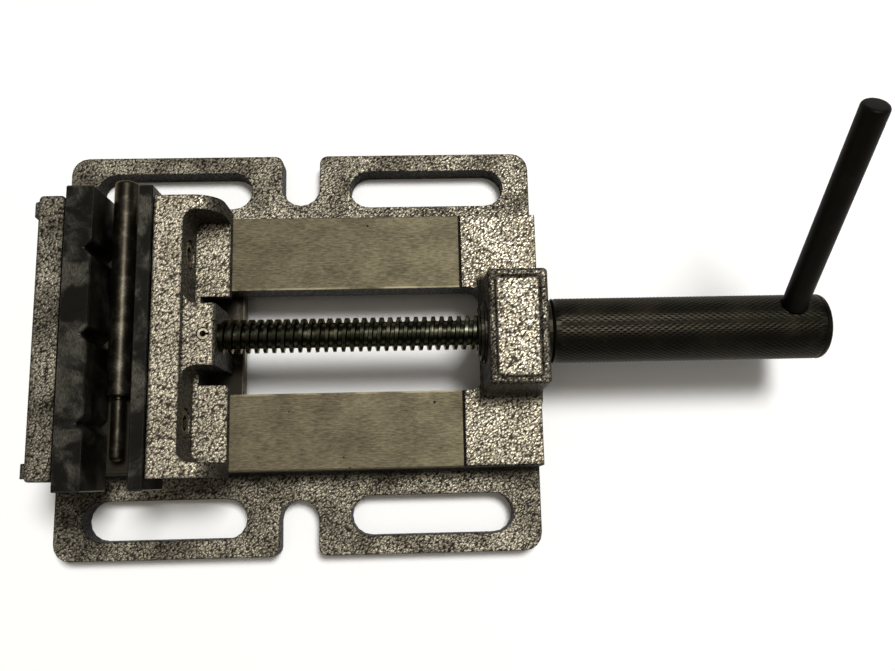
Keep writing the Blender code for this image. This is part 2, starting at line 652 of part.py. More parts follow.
def movable_jaw_casting(parent):
    """The sliding jaw: a wall, two end walls, a floor on the ways and the screw boss."""
    half = JAW_CASTING_WIDTH / 2 - SLIDE_CLEARANCE
    jaw = piece("movable_jaw_casting", slab([jaw_profile()], -half, half, ALONG_Y), HAMMERTONE, parent)
    soften(jaw, JAW_EDGE_RADIUS)
    boss, gap = SCREW_BOSS_WIDTH / 2, FOOT_GAP_WIDTH / 2
    outside = JAW_REAR_X + JAW_WALL
    above = JAW_TOP_Z + JAW_WALL
    floor = JAW_FOOT_Z + JAW_FLOOR
    for low, high in ((boss, half - END_WALL), (END_WALL - half, -boss)):
        pocket = rounded_rectangle((JAW_WALL_X, low), (outside, high), POCKET_CORNER_RADIUS)
        soften(cut(jaw, slab([pocket], floor, above)), POCKET_FOOT_RADIUS, 3)
    boss_top = JAW_TOP_Z - SCREW_BOSS_DROP
    cut(jaw, box((JAW_WALL_X, -boss - END_WALL, boss_top), (outside, boss + END_WALL, above)))
    cut(jaw, box((BOSS_FACE_X, -gap, 0), (outside, gap, above)))
    tongue = WINDOW_HALF - SLIDE_CLEARANCE
    for side in (-1, 1):
        near, far = sorted((side * boss, side * gap))
        cut(jaw, box((TONGUE_END_X, near, 0), (outside, far, floor + JAW_FLOOR)))
    join(jaw, box((JAW_FRONT_X + JAW_EDGE_RADIUS, -tongue, RAIL_UNDERSIDE_Z),
                  (TONGUE_END_X - SLIDE_CLEARANCE, tongue, floor - JAW_EDGE_RADIUS)))
    column_y = boss - SLIDE_CLEARANCE
    join(jaw, box((TONGUE_END_X - JAW_EDGE_RADIUS, -column_y, RAIL_UNDERSIDE_Z),
                  (BOSS_FACE_X - SLIDE_CLEARANCE, column_y, floor)))
    bore = JOURNAL_DIAMETER / 2 + HOLE_CLEARANCE
    bore_end = BOSS_FACE_X - JOURNAL_LENGTH - HOLE_CLEARANCE
    cut(jaw, rod((bore_end, 0, SCREW_Z), (outside, 0, SCREW_Z), bore))
    pin = LOCK_PIN_DIAMETER / 2 + HOLE_CLEARANCE
    pin_foot = SCREW_Z - bore - LOCK_PIN_REACH - HOLE_CLEARANCE
    cut(jaw, rod((LOCK_PIN_X, 0, pin_foot), (LOCK_PIN_X, 0, above), pin, steps=16))
    for y in (-CAP_SCREW_SPACING / 2, CAP_SCREW_SPACING / 2):
        hole = CAP_SCREW_DIAMETER / 2 + HOLE_CLEARANCE
        cut(jaw, rod((MOVABLE_FACE_X, y, CAP_SCREW_Z), (JAW_WALL_X - SEAT_GAP, y, CAP_SCREW_Z),
                     hole))
        seat = JAW_WALL_X - HEAD_RECESS - CAP_HEAD_HEIGHT - SEAT_GAP
        recess = CAP_HEAD_DIAMETER / 2 + HOLE_CLEARANCE
        cut(jaw, rod((seat, y, CAP_SCREW_Z), (outside, y, CAP_SCREW_Z), recess))
    for y in (-KEEPER_BOLT_SPACING / 2, KEEPER_BOLT_SPACING / 2):
        reach = RAIL_UNDERSIDE_Z + KEEPER_BOLT_ENGAGEMENT + HOLE_CLEARANCE
        cut(jaw, rod((KEEPER_BOLT_X, y, 0), (KEEPER_BOLT_X, y, reach),
                     KEEPER_BOLT_DIAMETER / 2 + HOLE_CLEARANCE))
    return jaw


def keeper(parent):
    """The plate under the ways that holds the jaw down, with two bolts and their washers."""
    half = KEEPER_WIDTH / 2
    low = (KEEPER_FRONT_X, -half, KEEPER_FOOT_Z)
    high = (KEEPER_FRONT_X + KEEPER_LENGTH, half, KEEPER_TOP_Z)
    plate = piece("jaw_keeper_plate", box(low, high), BLACK_OXIDE, parent)
    soften(plate, PLATE_EDGE)
    hole = KEEPER_BOLT_DIAMETER / 2 + HOLE_CLEARANCE
    washer_z = KEEPER_FOOT_Z - SEAT_GAP
    head_z = washer_z - WASHER_THICKNESS - SEAT_GAP
    for side, y in (("front", -KEEPER_BOLT_SPACING / 2), ("back", KEEPER_BOLT_SPACING / 2)):
        place = (KEEPER_BOLT_X, y, 0)
        cut(plate, rod((KEEPER_BOLT_X, y, 0), (KEEPER_BOLT_X, y, WAY_HEIGHT), hole))
        ring = [arc((0, 0), hole + WASHER_WALL, 0, 345, HOLE_STEPS - 1),
                arc((0, 0), hole, 0, 345, HOLE_STEPS - 1)]
        piece(f"keeper_washer_{side}", slab(ring, washer_z - WASHER_THICKNESS, washer_z),
              SCREW_STEEL, parent, place)
        shank = rod((0, 0, head_z - KEEPER_BOLT_HEAD / 2), (0, 0, RAIL_UNDERSIDE_Z
                    + KEEPER_BOLT_ENGAGEMENT), KEEPER_BOLT_DIAMETER / 2)
        bolt = piece(f"keeper_bolt_{side}", shank, SCREW_STEEL, parent, place)
        join(bolt, rod((0, 0, head_z - KEEPER_BOLT_HEAD), (0, 0, head_z),
                       KEEPER_BOLT_FLATS / math.sqrt(3), steps=6))


def thread_form():
    """The whole thread as one helix of a tooth, longer than the screw at both ends."""
    crest, root = SCREW_DIAMETER / 2 * 1.001, SCREW_DIAMETER / 2 - THREAD_DEPTH
    land = THREAD_PITCH - THREAD_CREST - 2 * THREAD_FLANK
    levels = [(root, 0), (root, land), (crest, land + THREAD_FLANK),
              (crest, land + THREAD_FLANK + THREAD_CREST), (root, THREAD_PITCH)]
    turns = math.ceil((SCREW_END_X - SCREW_START_X) / THREAD_PITCH) + 4
    form = bmesh.new()
    start = SCREW_START_X - 2 * THREAD_PITCH
    rows = []
    for turn in range(turns):
        for radius, rise in levels[:-1]:
            rows.append((radius, start + turn * THREAD_PITCH + rise))
    rows.append((root, start + turns * THREAD_PITCH))
    grid = []
    for radius, x in rows:
        ring = []
        for step in range(THREAD_STEPS + 1):
            angle = -2 * math.pi * step / THREAD_STEPS
            slide = THREAD_PITCH * step / THREAD_STEPS
            ring.append(form.verts.new((x + slide, radius * math.cos(angle), radius * math.sin(angle))))
        grid.append(ring)
    for lower, upper in zip(grid, grid[1:]):
        for step in range(THREAD_STEPS):
            form.faces.new((lower[step], lower[step + 1], upper[step + 1], upper[step]))
    bmesh.ops.remove_doubles(form, verts=form.verts, dist=1e-7)
    bmesh.ops.holes_fill(form, edges=[edge for edge in form.edges if edge.is_boundary])
    bmesh.ops.triangulate(form, faces=[face for face in form.faces if len(face.verts) > 4])
    bmesh.ops.recalc_face_normals(form, faces=form.faces)
    mesh = bpy.data.meshes.new("thread")
    form.to_mesh(mesh)
    form.free()
    return mesh


def lead_screw(parent):
    """The screw: a plain journal in the jaw's boss, then the thread into the handle."""
    axis = (0, 0, SCREW_Z)
    screw = piece("lead_screw", thread_form(), SCREW_STEEL, parent, axis)
    crest, ease = SCREW_DIAMETER / 2, SCREW_CHAMFER
    blank = rod((SCREW_START_X + ease, 0, 0), (SCREW_END_X - ease, 0, 0), crest, steps=THREAD_STEPS)
    bar = bmesh.new()
    bar.from_mesh(blank)
    caps = [face for face in bar.faces if len(face.verts) > 4]
    for cap in caps:
        away = cap.normal.copy()
        tip = bmesh.ops.extrude_face_region(bar, geom=[cap])
        ends = [v for v in tip["geom"] if isinstance(v, bmesh.types.BMVert)]
        bmesh.ops.translate(bar, verts=ends, vec=away * ease)
        narrow = (crest - THREAD_DEPTH / 2) / crest
        bmesh.ops.scale(bar, verts=ends, vec=(1, narrow, narrow))
    bmesh.ops.delete(bar, geom=caps, context="FACES_ONLY")
    bmesh.ops.recalc_face_normals(bar, faces=bar.faces)
    bar.to_mesh(blank)
    bar.free()
    shape_with(screw, blank, "INTERSECT")
    join(screw, rod((BOSS_FACE_X - JOURNAL_LENGTH, 0, 0), (SCREW_START_X + ease, 0, 0),
                    JOURNAL_DIAMETER / 2))
    reach = JOURNAL_DIAMETER
    cut(screw, rod((LOCK_PIN_X, 0, -reach), (LOCK_PIN_X, 0, reach),
                   LOCK_PIN_DIAMETER / 2 + HOLE_CLEARANCE, steps=16))


def lock_pin(parent):
    """The slit spring pin that keeps the screw from turning in the jaw."""
    outer = LOCK_PIN_DIAMETER / 2
    inner = outer - LOCK_PIN_WALL
    slit = math.degrees(math.asin(LOCK_PIN_SLIT / 2 / inner))
    outline = arc((0, 0), outer, slit, 360 - slit, 16) + arc((0, 0), inner, 360 - slit, slit, 16)
    foot = SCREW_Z - JOURNAL_DIAMETER / 2 - HOLE_CLEARANCE - LOCK_PIN_REACH
    top = JAW_TOP_Z - SCREW_BOSS_DROP - SEAT_GAP
    piece("screw_lock_pin", slab([outline], foot, top), SCREW_STEEL, parent, (LOCK_PIN_X, 0, 0))


def handle(parent):
    """The knurled handle with its neck through the block, hollow for the screw, and its crank."""
    neck, grip = NECK_DIAMETER / 2, HANDLE_DIAMETER / 2
    bore = SCREW_DIAMETER / 2 + TURNING_CLEARANCE
    end = arc((HANDLE_END_X - HANDLE_END_RADIUS, grip - HANDLE_END_RADIUS), HANDLE_END_RADIUS, 0, 90, 3)
    profile = [(HANDLE_END_X, 0)] + end
    profile += [(HANDLE_START_X + HANDLE_START_CHAMFER, grip),
                (HANDLE_START_X, grip - HANDLE_START_CHAMFER), (HANDLE_START_X, neck),
                (GROOVE_END_X, neck), (GROOVE_END_X, neck - GROOVE_CUT),
                (GROOVE_START_X, neck - GROOVE_CUT), (GROOVE_START_X, neck),
                (NECK_START_X, neck), (NECK_START_X, bore), (BORE_END_X, bore), (BORE_END_X, 0)]
    sleeve = turned("handle_sleeve", profile, KNURLED_STEEL, parent, (0, 0, 0), (0, math.pi / 2, 0))
    lean = Vector((0, math.sin(CRANK_LEAN), math.cos(CRANK_LEAN)))
    middle = Vector((CRANK_X, 0, 0))
    seat = middle + lean * (grip - CRANK_SEAT_DEPTH)
    mouth = middle + lean * (grip - 2 * CRANK_HOLE_COUNTERSINK)
    outer = middle + lean * (grip + CRANK_DIAMETER)
    narrow = CRANK_HOLE_RADIUS - CRANK_HOLE_COUNTERSINK
    wide = narrow + 2 * CRANK_HOLE_COUNTERSINK + CRANK_DIAMETER
    spigot_hole = SPIGOT_DIAMETER / 2 + HOLE_CLEARANCE
    for name, tool in (("spigot_hole", rod(middle - lean * 2 * grip, outer, spigot_hole)),
                       ("counterbore", rod(seat, outer, CRANK_HOLE_RADIUS)),
                       ("countersink", rod(mouth, outer, narrow, wide))):
        change = sleeve.modifiers.new(name, "BOOLEAN")
        change.solver = "EXACT"
        change.object = helper(f"handle_{name}", tool, parent)
    crank_bar("crank_bar", seat + lean * SEAT_GAP, (-CRANK_LEAN, 0, 0), parent)


def crank_bar(name, shoulder, turn, parent):
    """A crank bar: its grip from the shoulder out, and its thin spigot the other way."""
    grip, spigot = CRANK_DIAMETER / 2, SPIGOT_DIAMETER / 2
    tip = arc((CRANK_LENGTH - CRANK_TIP_RADIUS, grip - CRANK_TIP_RADIUS), CRANK_TIP_RADIUS, 0, 90, 3)
    end = arc((SPIGOT_TIP_RADIUS - SPIGOT_LENGTH, spigot - SPIGOT_TIP_RADIUS), SPIGOT_TIP_RADIUS,
              90, 180, 3)
    neck = spigot - SPIGOT_UNDERCUT
    profile = [(CRANK_LENGTH, 0)] + tip + [(SPIGOT_UNDERCUT, grip), (0, grip - SPIGOT_UNDERCUT),
                                           (0, neck), (-2 * SPIGOT_UNDERCUT, neck),
                                           (-3 * SPIGOT_UNDERCUT, spigot)]
    profile += end + [(-SPIGOT_LENGTH, 0)]
    turned(name, profile, BAR_STEEL, parent, shoulder, turn, HOLE_STEPS)


def washer(name, start, thickness, inner, outer, parent, location):
    """A flat round washer across X."""
    whole = 360 - 360 / ROUND_STEPS
    rings = [arc((0, 0), radius, 0, whole, ROUND_STEPS - 1) for radius in (outer, inner)]
    piece(name, slab(rings, start, start + thickness, ALONG_X), SCREW_STEEL, parent, location)


def bearing(base_parent, handle_parent):
    """A washer on each side of the block, and the open ring that keeps the neck in it."""
    neck = NECK_DIAMETER / 2
    fit = neck + TURNING_CLEARANCE
    axis = (0, 0, SCREW_Z)
    washer("outer_thrust_washer", THRUST_WASHER_X, THRUST_WASHER_THICKNESS, fit,
           HANDLE_DIAMETER / 2 - HANDLE_START_CHAMFER, base_parent, axis)
    washer("inner_thrust_washer", INNER_WASHER_X, INNER_WASHER_THICKNESS, fit,
           fit + INNER_WASHER_WALL, handle_parent, (0, 0, 0))
    inner = neck - GROOVE_CUT + HOLE_CLEARANCE
    outer = inner + RETAINING_RING_WALL
    half = math.degrees(RETAINING_RING_OPENING) / 2
    ring = arc((0, 0), outer, half, 360 - half, ROUND_STEPS - 4)
    ring += arc((0, 0), inner, 360 - half, half, ROUND_STEPS - 4)
    end = RETAINING_RING_X + RETAINING_RING_THICKNESS
    piece("retaining_ring", slab([ring], RETAINING_RING_X, end, ALONG_X), SCREW_STEEL, handle_parent)


clear_scene()
VISE = collection("drill_press_vise")
HELPERS = collection("cutters_and_joins")

HAMMERTONE = material("hammertone_paint", (0.30, 0.28, 0.25), 0.3, 0.4)
BLACK_OXIDE = material("black_oxide_steel", (0.035, 0.035, 0.033), 0.6, 0.45)
SCREW_STEEL = material("oiled_dark_steel", (0.05, 0.05, 0.05), 0.8, 0.35)
KNURLED_STEEL = material("knurled_dark_steel", (0.07, 0.07, 0.065), 0.7, 0.5)
BAR_STEEL = material("dark_bar_steel", (0.045, 0.043, 0.04), 0.6, 0.5)

base_empty = empty("base", (VISE_X, 0, 0))
jaw_empty = empty("jaw_slide", (0, 0, 0), base_empty)
handle_empty = empty("handle_axis", (0, 0, SCREW_Z), base_empty)

base_casting(base_empty)
jaw_plates(base_empty, jaw_empty)
cap_screws(base_empty, jaw_empty)
movable_jaw_casting(jaw_empty)
keeper(jaw_empty)
lead_screw(jaw_empty)
lock_pin(jaw_empty)
handle(handle_empty)
spare_y = SPARE_BAR_SHIFT + (SPIGOT_LENGTH - CRANK_LENGTH) / 2
crank_bar("spare_crank_bar", (SPARE_BAR_X, spare_y, SPARE_BAR_Z), (-math.pi / 2, 0, 0), base_empty)
bearing(base_empty, handle_empty)
bpy.context.view_layer.update()
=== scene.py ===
"""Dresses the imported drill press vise: paint, machined iron, black oxide, knurl, light and camera.

Every length is in metres unless its name says mm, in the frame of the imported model.
"""

import logging
import math
from dataclasses import dataclass, field
from enum import Enum

import bmesh
import bpy
from mathutils import Euler, Matrix, Vector


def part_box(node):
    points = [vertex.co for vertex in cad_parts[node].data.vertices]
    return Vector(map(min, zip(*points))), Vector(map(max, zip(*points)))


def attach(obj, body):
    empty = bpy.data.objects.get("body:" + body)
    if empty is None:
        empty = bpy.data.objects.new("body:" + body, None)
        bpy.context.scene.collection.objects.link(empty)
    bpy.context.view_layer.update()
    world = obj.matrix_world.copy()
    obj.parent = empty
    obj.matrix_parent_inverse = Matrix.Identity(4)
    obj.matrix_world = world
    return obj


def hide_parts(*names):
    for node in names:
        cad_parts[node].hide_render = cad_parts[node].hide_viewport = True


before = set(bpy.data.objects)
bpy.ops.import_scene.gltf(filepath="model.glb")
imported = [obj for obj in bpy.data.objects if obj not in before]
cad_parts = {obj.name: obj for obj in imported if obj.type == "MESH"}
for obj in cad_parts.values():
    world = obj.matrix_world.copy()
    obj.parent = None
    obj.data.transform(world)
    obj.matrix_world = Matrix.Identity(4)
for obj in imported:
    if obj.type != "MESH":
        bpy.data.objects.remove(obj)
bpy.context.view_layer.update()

LOG = logging.getLogger("vise")
MM = 0.001
SCREW_AXIS_Z = 37.9 * MM
MERGE = 1e-6
# A Mix node has two inputs and one output for each kind of value, which only numbers tell apart.
NUMBER_A, NUMBER_B, VECTOR_A, VECTOR_B, COLOR_A, COLOR_B = range(2, 8)
MIXED_NUMBER, MIXED_VECTOR, MIXED_COLOR = range(3)


class Body(Enum):
    """The bodies that a new piece rides on."""

    BASE = "base"
    HANDLE = "handle"


class Slot(Enum):
    """Two material slot names; no piece here takes its finish from them."""

    KNURL = "knurled_steel"
    BAR = "dark_bar_steel"


def linear(code: str) -> tuple[float, float, float, float]:
    """Turns an sRGB hex colour to a linear one.

    Args:
        code: Six hex digits.

    Returns:
        Red, green, blue and an alpha of 1.
    """
    parts = [int(code[i:i + 2], 16) / 255 for i in (0, 2, 4)]
    bare = [c / 12.92 if c <= 0.04045 else ((c + 0.055) / 1.055) ** 2.4 for c in parts]
    return bare[0], bare[1], bare[2], 1.0


def add_node(tree: bpy.types.NodeTree, kind: str, inputs: dict | None = None,
             **settings: object) -> bpy.types.Node:
    """Adds a node to a tree.

    Args:
        tree: The tree that gets the node.
        kind: The node's type, such as ShaderNodeTexNoise.
        inputs: A value, or an output to link, for each input by name or number.
        settings: Properties of the node itself.

    Returns:
        The new node.
    """
    node = tree.nodes.new(kind)
    for key, value in settings.items():
        setattr(node, key, value)
    for key, value in (inputs or {}).items():
        if isinstance(value, bpy.types.NodeSocket):
            tree.links.new(value, node.inputs[key])
        else:
            node.inputs[key].default_value = value
    return node


def new_material(name: str) -> tuple[bpy.types.Material, bpy.types.NodeTree]:
    """Makes an empty node material.

    Args:
        name: The material's name.

    Returns:
        The material and its cleared tree.
    """
    material = bpy.data.materials.new(name)
    material.use_nodes = True
    material.node_tree.nodes.clear()
    return material, material.node_tree


def per_metre(size_mm: float) -> float:
    """The texture scale that repeats about once in that many millimetres."""
    return 1000 / size_mm


@dataclass(frozen=True)
class Look:
    """The outputs that give a surface its look."""

    color: bpy.types.NodeSocket
    rough: bpy.types.NodeSocket
    normal: bpy.types.NodeSocket
    metal: bpy.types.NodeSocket


@dataclass(frozen=True)
class GroundIron:
    """Bare grey iron on the ways' top faces, ground and then oiled.

    It is olive-brown and dull, with faint cross scratches and a few pits. A bright strip along
    each inner edge is a painted highlight, and between the jaws the iron is painted black as
    painted shade. Real grinding lines are finer than a tenth of a millimetre, and are drawn
    coarser here, so that they show.
    """

    light: str = "6e6650"
    dark: str = "453f30"
    # The scratches' colour, also used for the painted highlight along the inner edges.
    scratch_and_edge_highlight: str = "8d8469"
    # The pits' colour, also used as painted shade between the jaws and on the groove's floor.
    pit_and_shade: str = "14110c"
    low: float = 26.05 * MM
    high: float = 26.9 * MM
    end: float = 12.25 * MM
    stain_mm: float = 14.0
    grind_mm: float = 0.5
    grind_stretch: float = 5.0
    grind_relief: float = 0.04 * MM
    stain_share: float = 0.4
    shade: tuple[float, float] = (0.52, 0.88)
    scratches: tuple[tuple[float, float], ...] = ((63.0, 0.68), (118.0, 0.72), (8.0, 0.71))
    scratch_mm: float = 0.8
    scratch_stretch: float = 30.0
    scratch_border: float = 0.08
    scratch_depth: float = 0.25
    pit_mm: float = 11.0
    pit_border: tuple[float, float] = (0.055, 0.035)
    # A painted highlight runs along the inner edges.
    inner: float = 19.5 * MM
    edge_highlight_width: float = 0.25 * MM
    edge_highlight_depth: float = 0.9
    edge_highlight_stain: tuple[float, float] = (0.42, 0.56)
    dull: tuple[float, float] = (0.62, 0.52)
    metal: float = 0.5
    # Painted shade darkens the ways between the jaws.
    gap_end: float = -92.0 * MM
    gap_fade: float = 4.0 * MM
    gap_shade_depth: float = 0.88
    # The groove's floor beside the ways is painted dark, as painted shade.
    groove_floor: float = 26.0 * MM
    groove_reach: float = 0.04 * MM

    def mask(self, tree: bpy.types.NodeTree, axes: bpy.types.Node) -> bpy.types.NodeSocket:
        """Where the ways' ground top faces are.

        Args:
            tree: The material's tree.
            axes: The node that splits the object coordinates.

        Returns:
            An output that is 1 on the ways' top faces and 0 elsewhere.
        """
        mask = 1.0
        for axis, limit, test in (("Z", self.low, "GREATER_THAN"), ("Z", self.high, "LESS_THAN"),
                                  ("X", self.end, "LESS_THAN")):
            inside = add_node(tree, "ShaderNodeMath", {0: axes.outputs[axis], 1: limit},
                              operation=test)
            mask = add_node(tree, "ShaderNodeMath", {0: mask, 1: inside.outputs[0]},
                            operation="MULTIPLY").outputs[0]
        return mask

    def marks(self, tree: bpy.types.NodeTree,
              place: bpy.types.NodeSocket) -> list[tuple[bpy.types.NodeSocket, str]]:
        """The cross scratches and the pits.

        Args:
            tree: The material's tree.
            place: The object coordinates.

        Returns:
            The share of the surface that each covers, and its colour.
        """
        layers = []
        for angle, lowest in self.scratches:
            across = add_node(tree, "ShaderNodeMapping", {
                "Vector": place, "Rotation": (0, 0, math.radians(angle)),
                "Scale": (self.scratch_stretch, 1, 1)}, vector_type="TEXTURE")
            lines = add_node(tree, "ShaderNodeTexNoise", {
                "Vector": across.outputs[0], "Scale": per_metre(self.scratch_mm),
                "Detail": 2.0, "Roughness": 0.7})
            mark = add_node(tree, "ShaderNodeMapRange", {
                "Value": lines.outputs["Fac"], "From Min": lowest,
                "From Max": lowest + self.scratch_border, "To Max": self.scratch_depth})
            layers.append((mark.outputs[0], self.scratch_and_edge_highlight))
        dots = add_node(tree, "ShaderNodeTexVoronoi", {
            "Vector": place, "Scale": per_metre(self.pit_mm)})
        hole = add_node(tree, "ShaderNodeMapRange", {
            "Value": dots.outputs["Distance"], "From Min": self.pit_border[0],
            "From Max": self.pit_border[1]})
        return layers + [(hole.outputs[0], self.pit_and_shade)]

    def wear(self, tree: bpy.types.NodeTree, axes: bpy.types.Node,
             stain: bpy.types.NodeSocket) -> list[tuple[bpy.types.NodeSocket, str]]:
        """The painted highlight along the inner edges, and the painted shade between the jaws.

        Args:
            tree: The material's tree.
            axes: The node that splits the object coordinates.
            stain: The patchy noise of the oil stains.

        Returns:
            The share of the surface that each covers, and its colour.
        """
        # A painted highlight along the inner edges, in patches from the stain.
        side = add_node(tree, "ShaderNodeMath", {0: axes.outputs["Y"]}, operation="ABSOLUTE")
        edge = add_node(tree, "ShaderNodeMapRange", {
            "Value": side.outputs[0], "From Min": self.inner + self.edge_highlight_width,
            "From Max": self.inner, "To Max": self.edge_highlight_depth})
        patchy = add_node(tree, "ShaderNodeMapRange", {
            "Value": stain, "From Min": self.edge_highlight_stain[0],
            "From Max": self.edge_highlight_stain[1]})
        rubbed_and_highlight = add_node(tree, "ShaderNodeMath", {0: edge.outputs[0], 1: patchy.outputs[0]},
                          operation="MULTIPLY")
        # Painted shade between the jaws.
        gap_shade = add_node(tree, "ShaderNodeMapRange", {
            "Value": axes.outputs["X"], "From Min": self.gap_end,
            "From Max": self.gap_end - self.gap_fade, "To Max": self.gap_shade_depth})
        return [(rubbed_and_highlight.outputs[0], self.scratch_and_edge_highlight), (gap_shade.outputs[0], self.pit_and_shade)]

    def lay_over(self, tree: bpy.types.NodeTree, place: bpy.types.NodeSocket,
                 axes: bpy.types.Node, paint: Look) -> Look:
        """Mixes the ground iron over the paint on the ways' top faces.

        Args:
            tree: The material's tree.
            place: The object coordinates.
            axes: The node that splits them.
            paint: The paint's look.

        Returns:
            The look with the ways, and with painted shade on the groove's floor beside them.
        """
        mask = self.mask(tree, axes)
        stain = add_node(tree, "ShaderNodeTexNoise", {
            "Vector": place, "Scale": per_metre(self.stain_mm), "Detail": 8.0,
            "Roughness": 0.6}).outputs["Fac"]
        along = add_node(tree, "ShaderNodeMapping", {
            "Vector": place, "Scale": (self.grind_stretch, 1, 1)}, vector_type="TEXTURE")
        grind = add_node(tree, "ShaderNodeTexNoise", {
            "Vector": along.outputs[0], "Scale": per_metre(self.grind_mm), "Detail": 3.0,
            "Roughness": 0.75}).outputs["Fac"]
        both = add_node(tree, "ShaderNodeMath", {0: stain, 1: self.stain_share, 2: grind},
                        operation="MULTIPLY_ADD")
        shade = add_node(tree, "ShaderNodeMapRange", {
            "Value": both.outputs[0], "From Min": self.shade[0], "From Max": self.shade[1]})
        iron = add_node(tree, "ShaderNodeMix", {
            "Factor": shade.outputs[0], COLOR_A: linear(self.dark),
            COLOR_B: linear(self.light)}, data_type="RGBA").outputs[MIXED_COLOR]
        for share, code in self.marks(tree, place) + self.wear(tree, axes, stain):
            iron = add_node(tree, "ShaderNodeMix", {
                "Factor": share, COLOR_A: iron, COLOR_B: linear(code)},
                data_type="RGBA").outputs[MIXED_COLOR]
        dull = add_node(tree, "ShaderNodeMapRange", {
            "Value": stain, "From Min": 0.3, "From Max": 0.7, "To Min": self.dull[0],
            "To Max": self.dull[1]})
        rough = add_node(tree, "ShaderNodeMix", {
            "Factor": mask, NUMBER_A: paint.rough, NUMBER_B: dull.outputs[0]})
        ground = add_node(tree, "ShaderNodeBump", {
            "Height": grind, "Strength": 0.4, "Distance": self.grind_relief})
        normal = add_node(tree, "ShaderNodeMix", {
            "Factor": mask, VECTOR_A: paint.normal, VECTOR_B: ground.outputs[0]},
            data_type="VECTOR")
        metal = add_node(tree, "ShaderNodeMix", {
            "Factor": mask, NUMBER_A: paint.metal, NUMBER_B: self.metal})
        # The groove's floor is painted dark, as painted shade.
        groove = add_node(tree, "ShaderNodeMath", {
            0: axes.outputs["Z"], 1: self.groove_floor, 2: self.groove_reach},
            operation="COMPARE")
        coat = add_node(tree, "ShaderNodeMix", {
            "Factor": groove.outputs[0], COLOR_A: paint.color, COLOR_B: linear(self.pit_and_shade)},
            data_type="RGBA")
        color = add_node(tree, "ShaderNodeMix", {
            "Factor": mask, COLOR_A: coat.outputs[MIXED_COLOR], COLOR_B: iron},
            data_type="RGBA")
        return Look(color.outputs[MIXED_COLOR], rough.outputs[MIXED_NUMBER],
                    normal.outputs[MIXED_VECTOR], metal.outputs[MIXED_NUMBER])


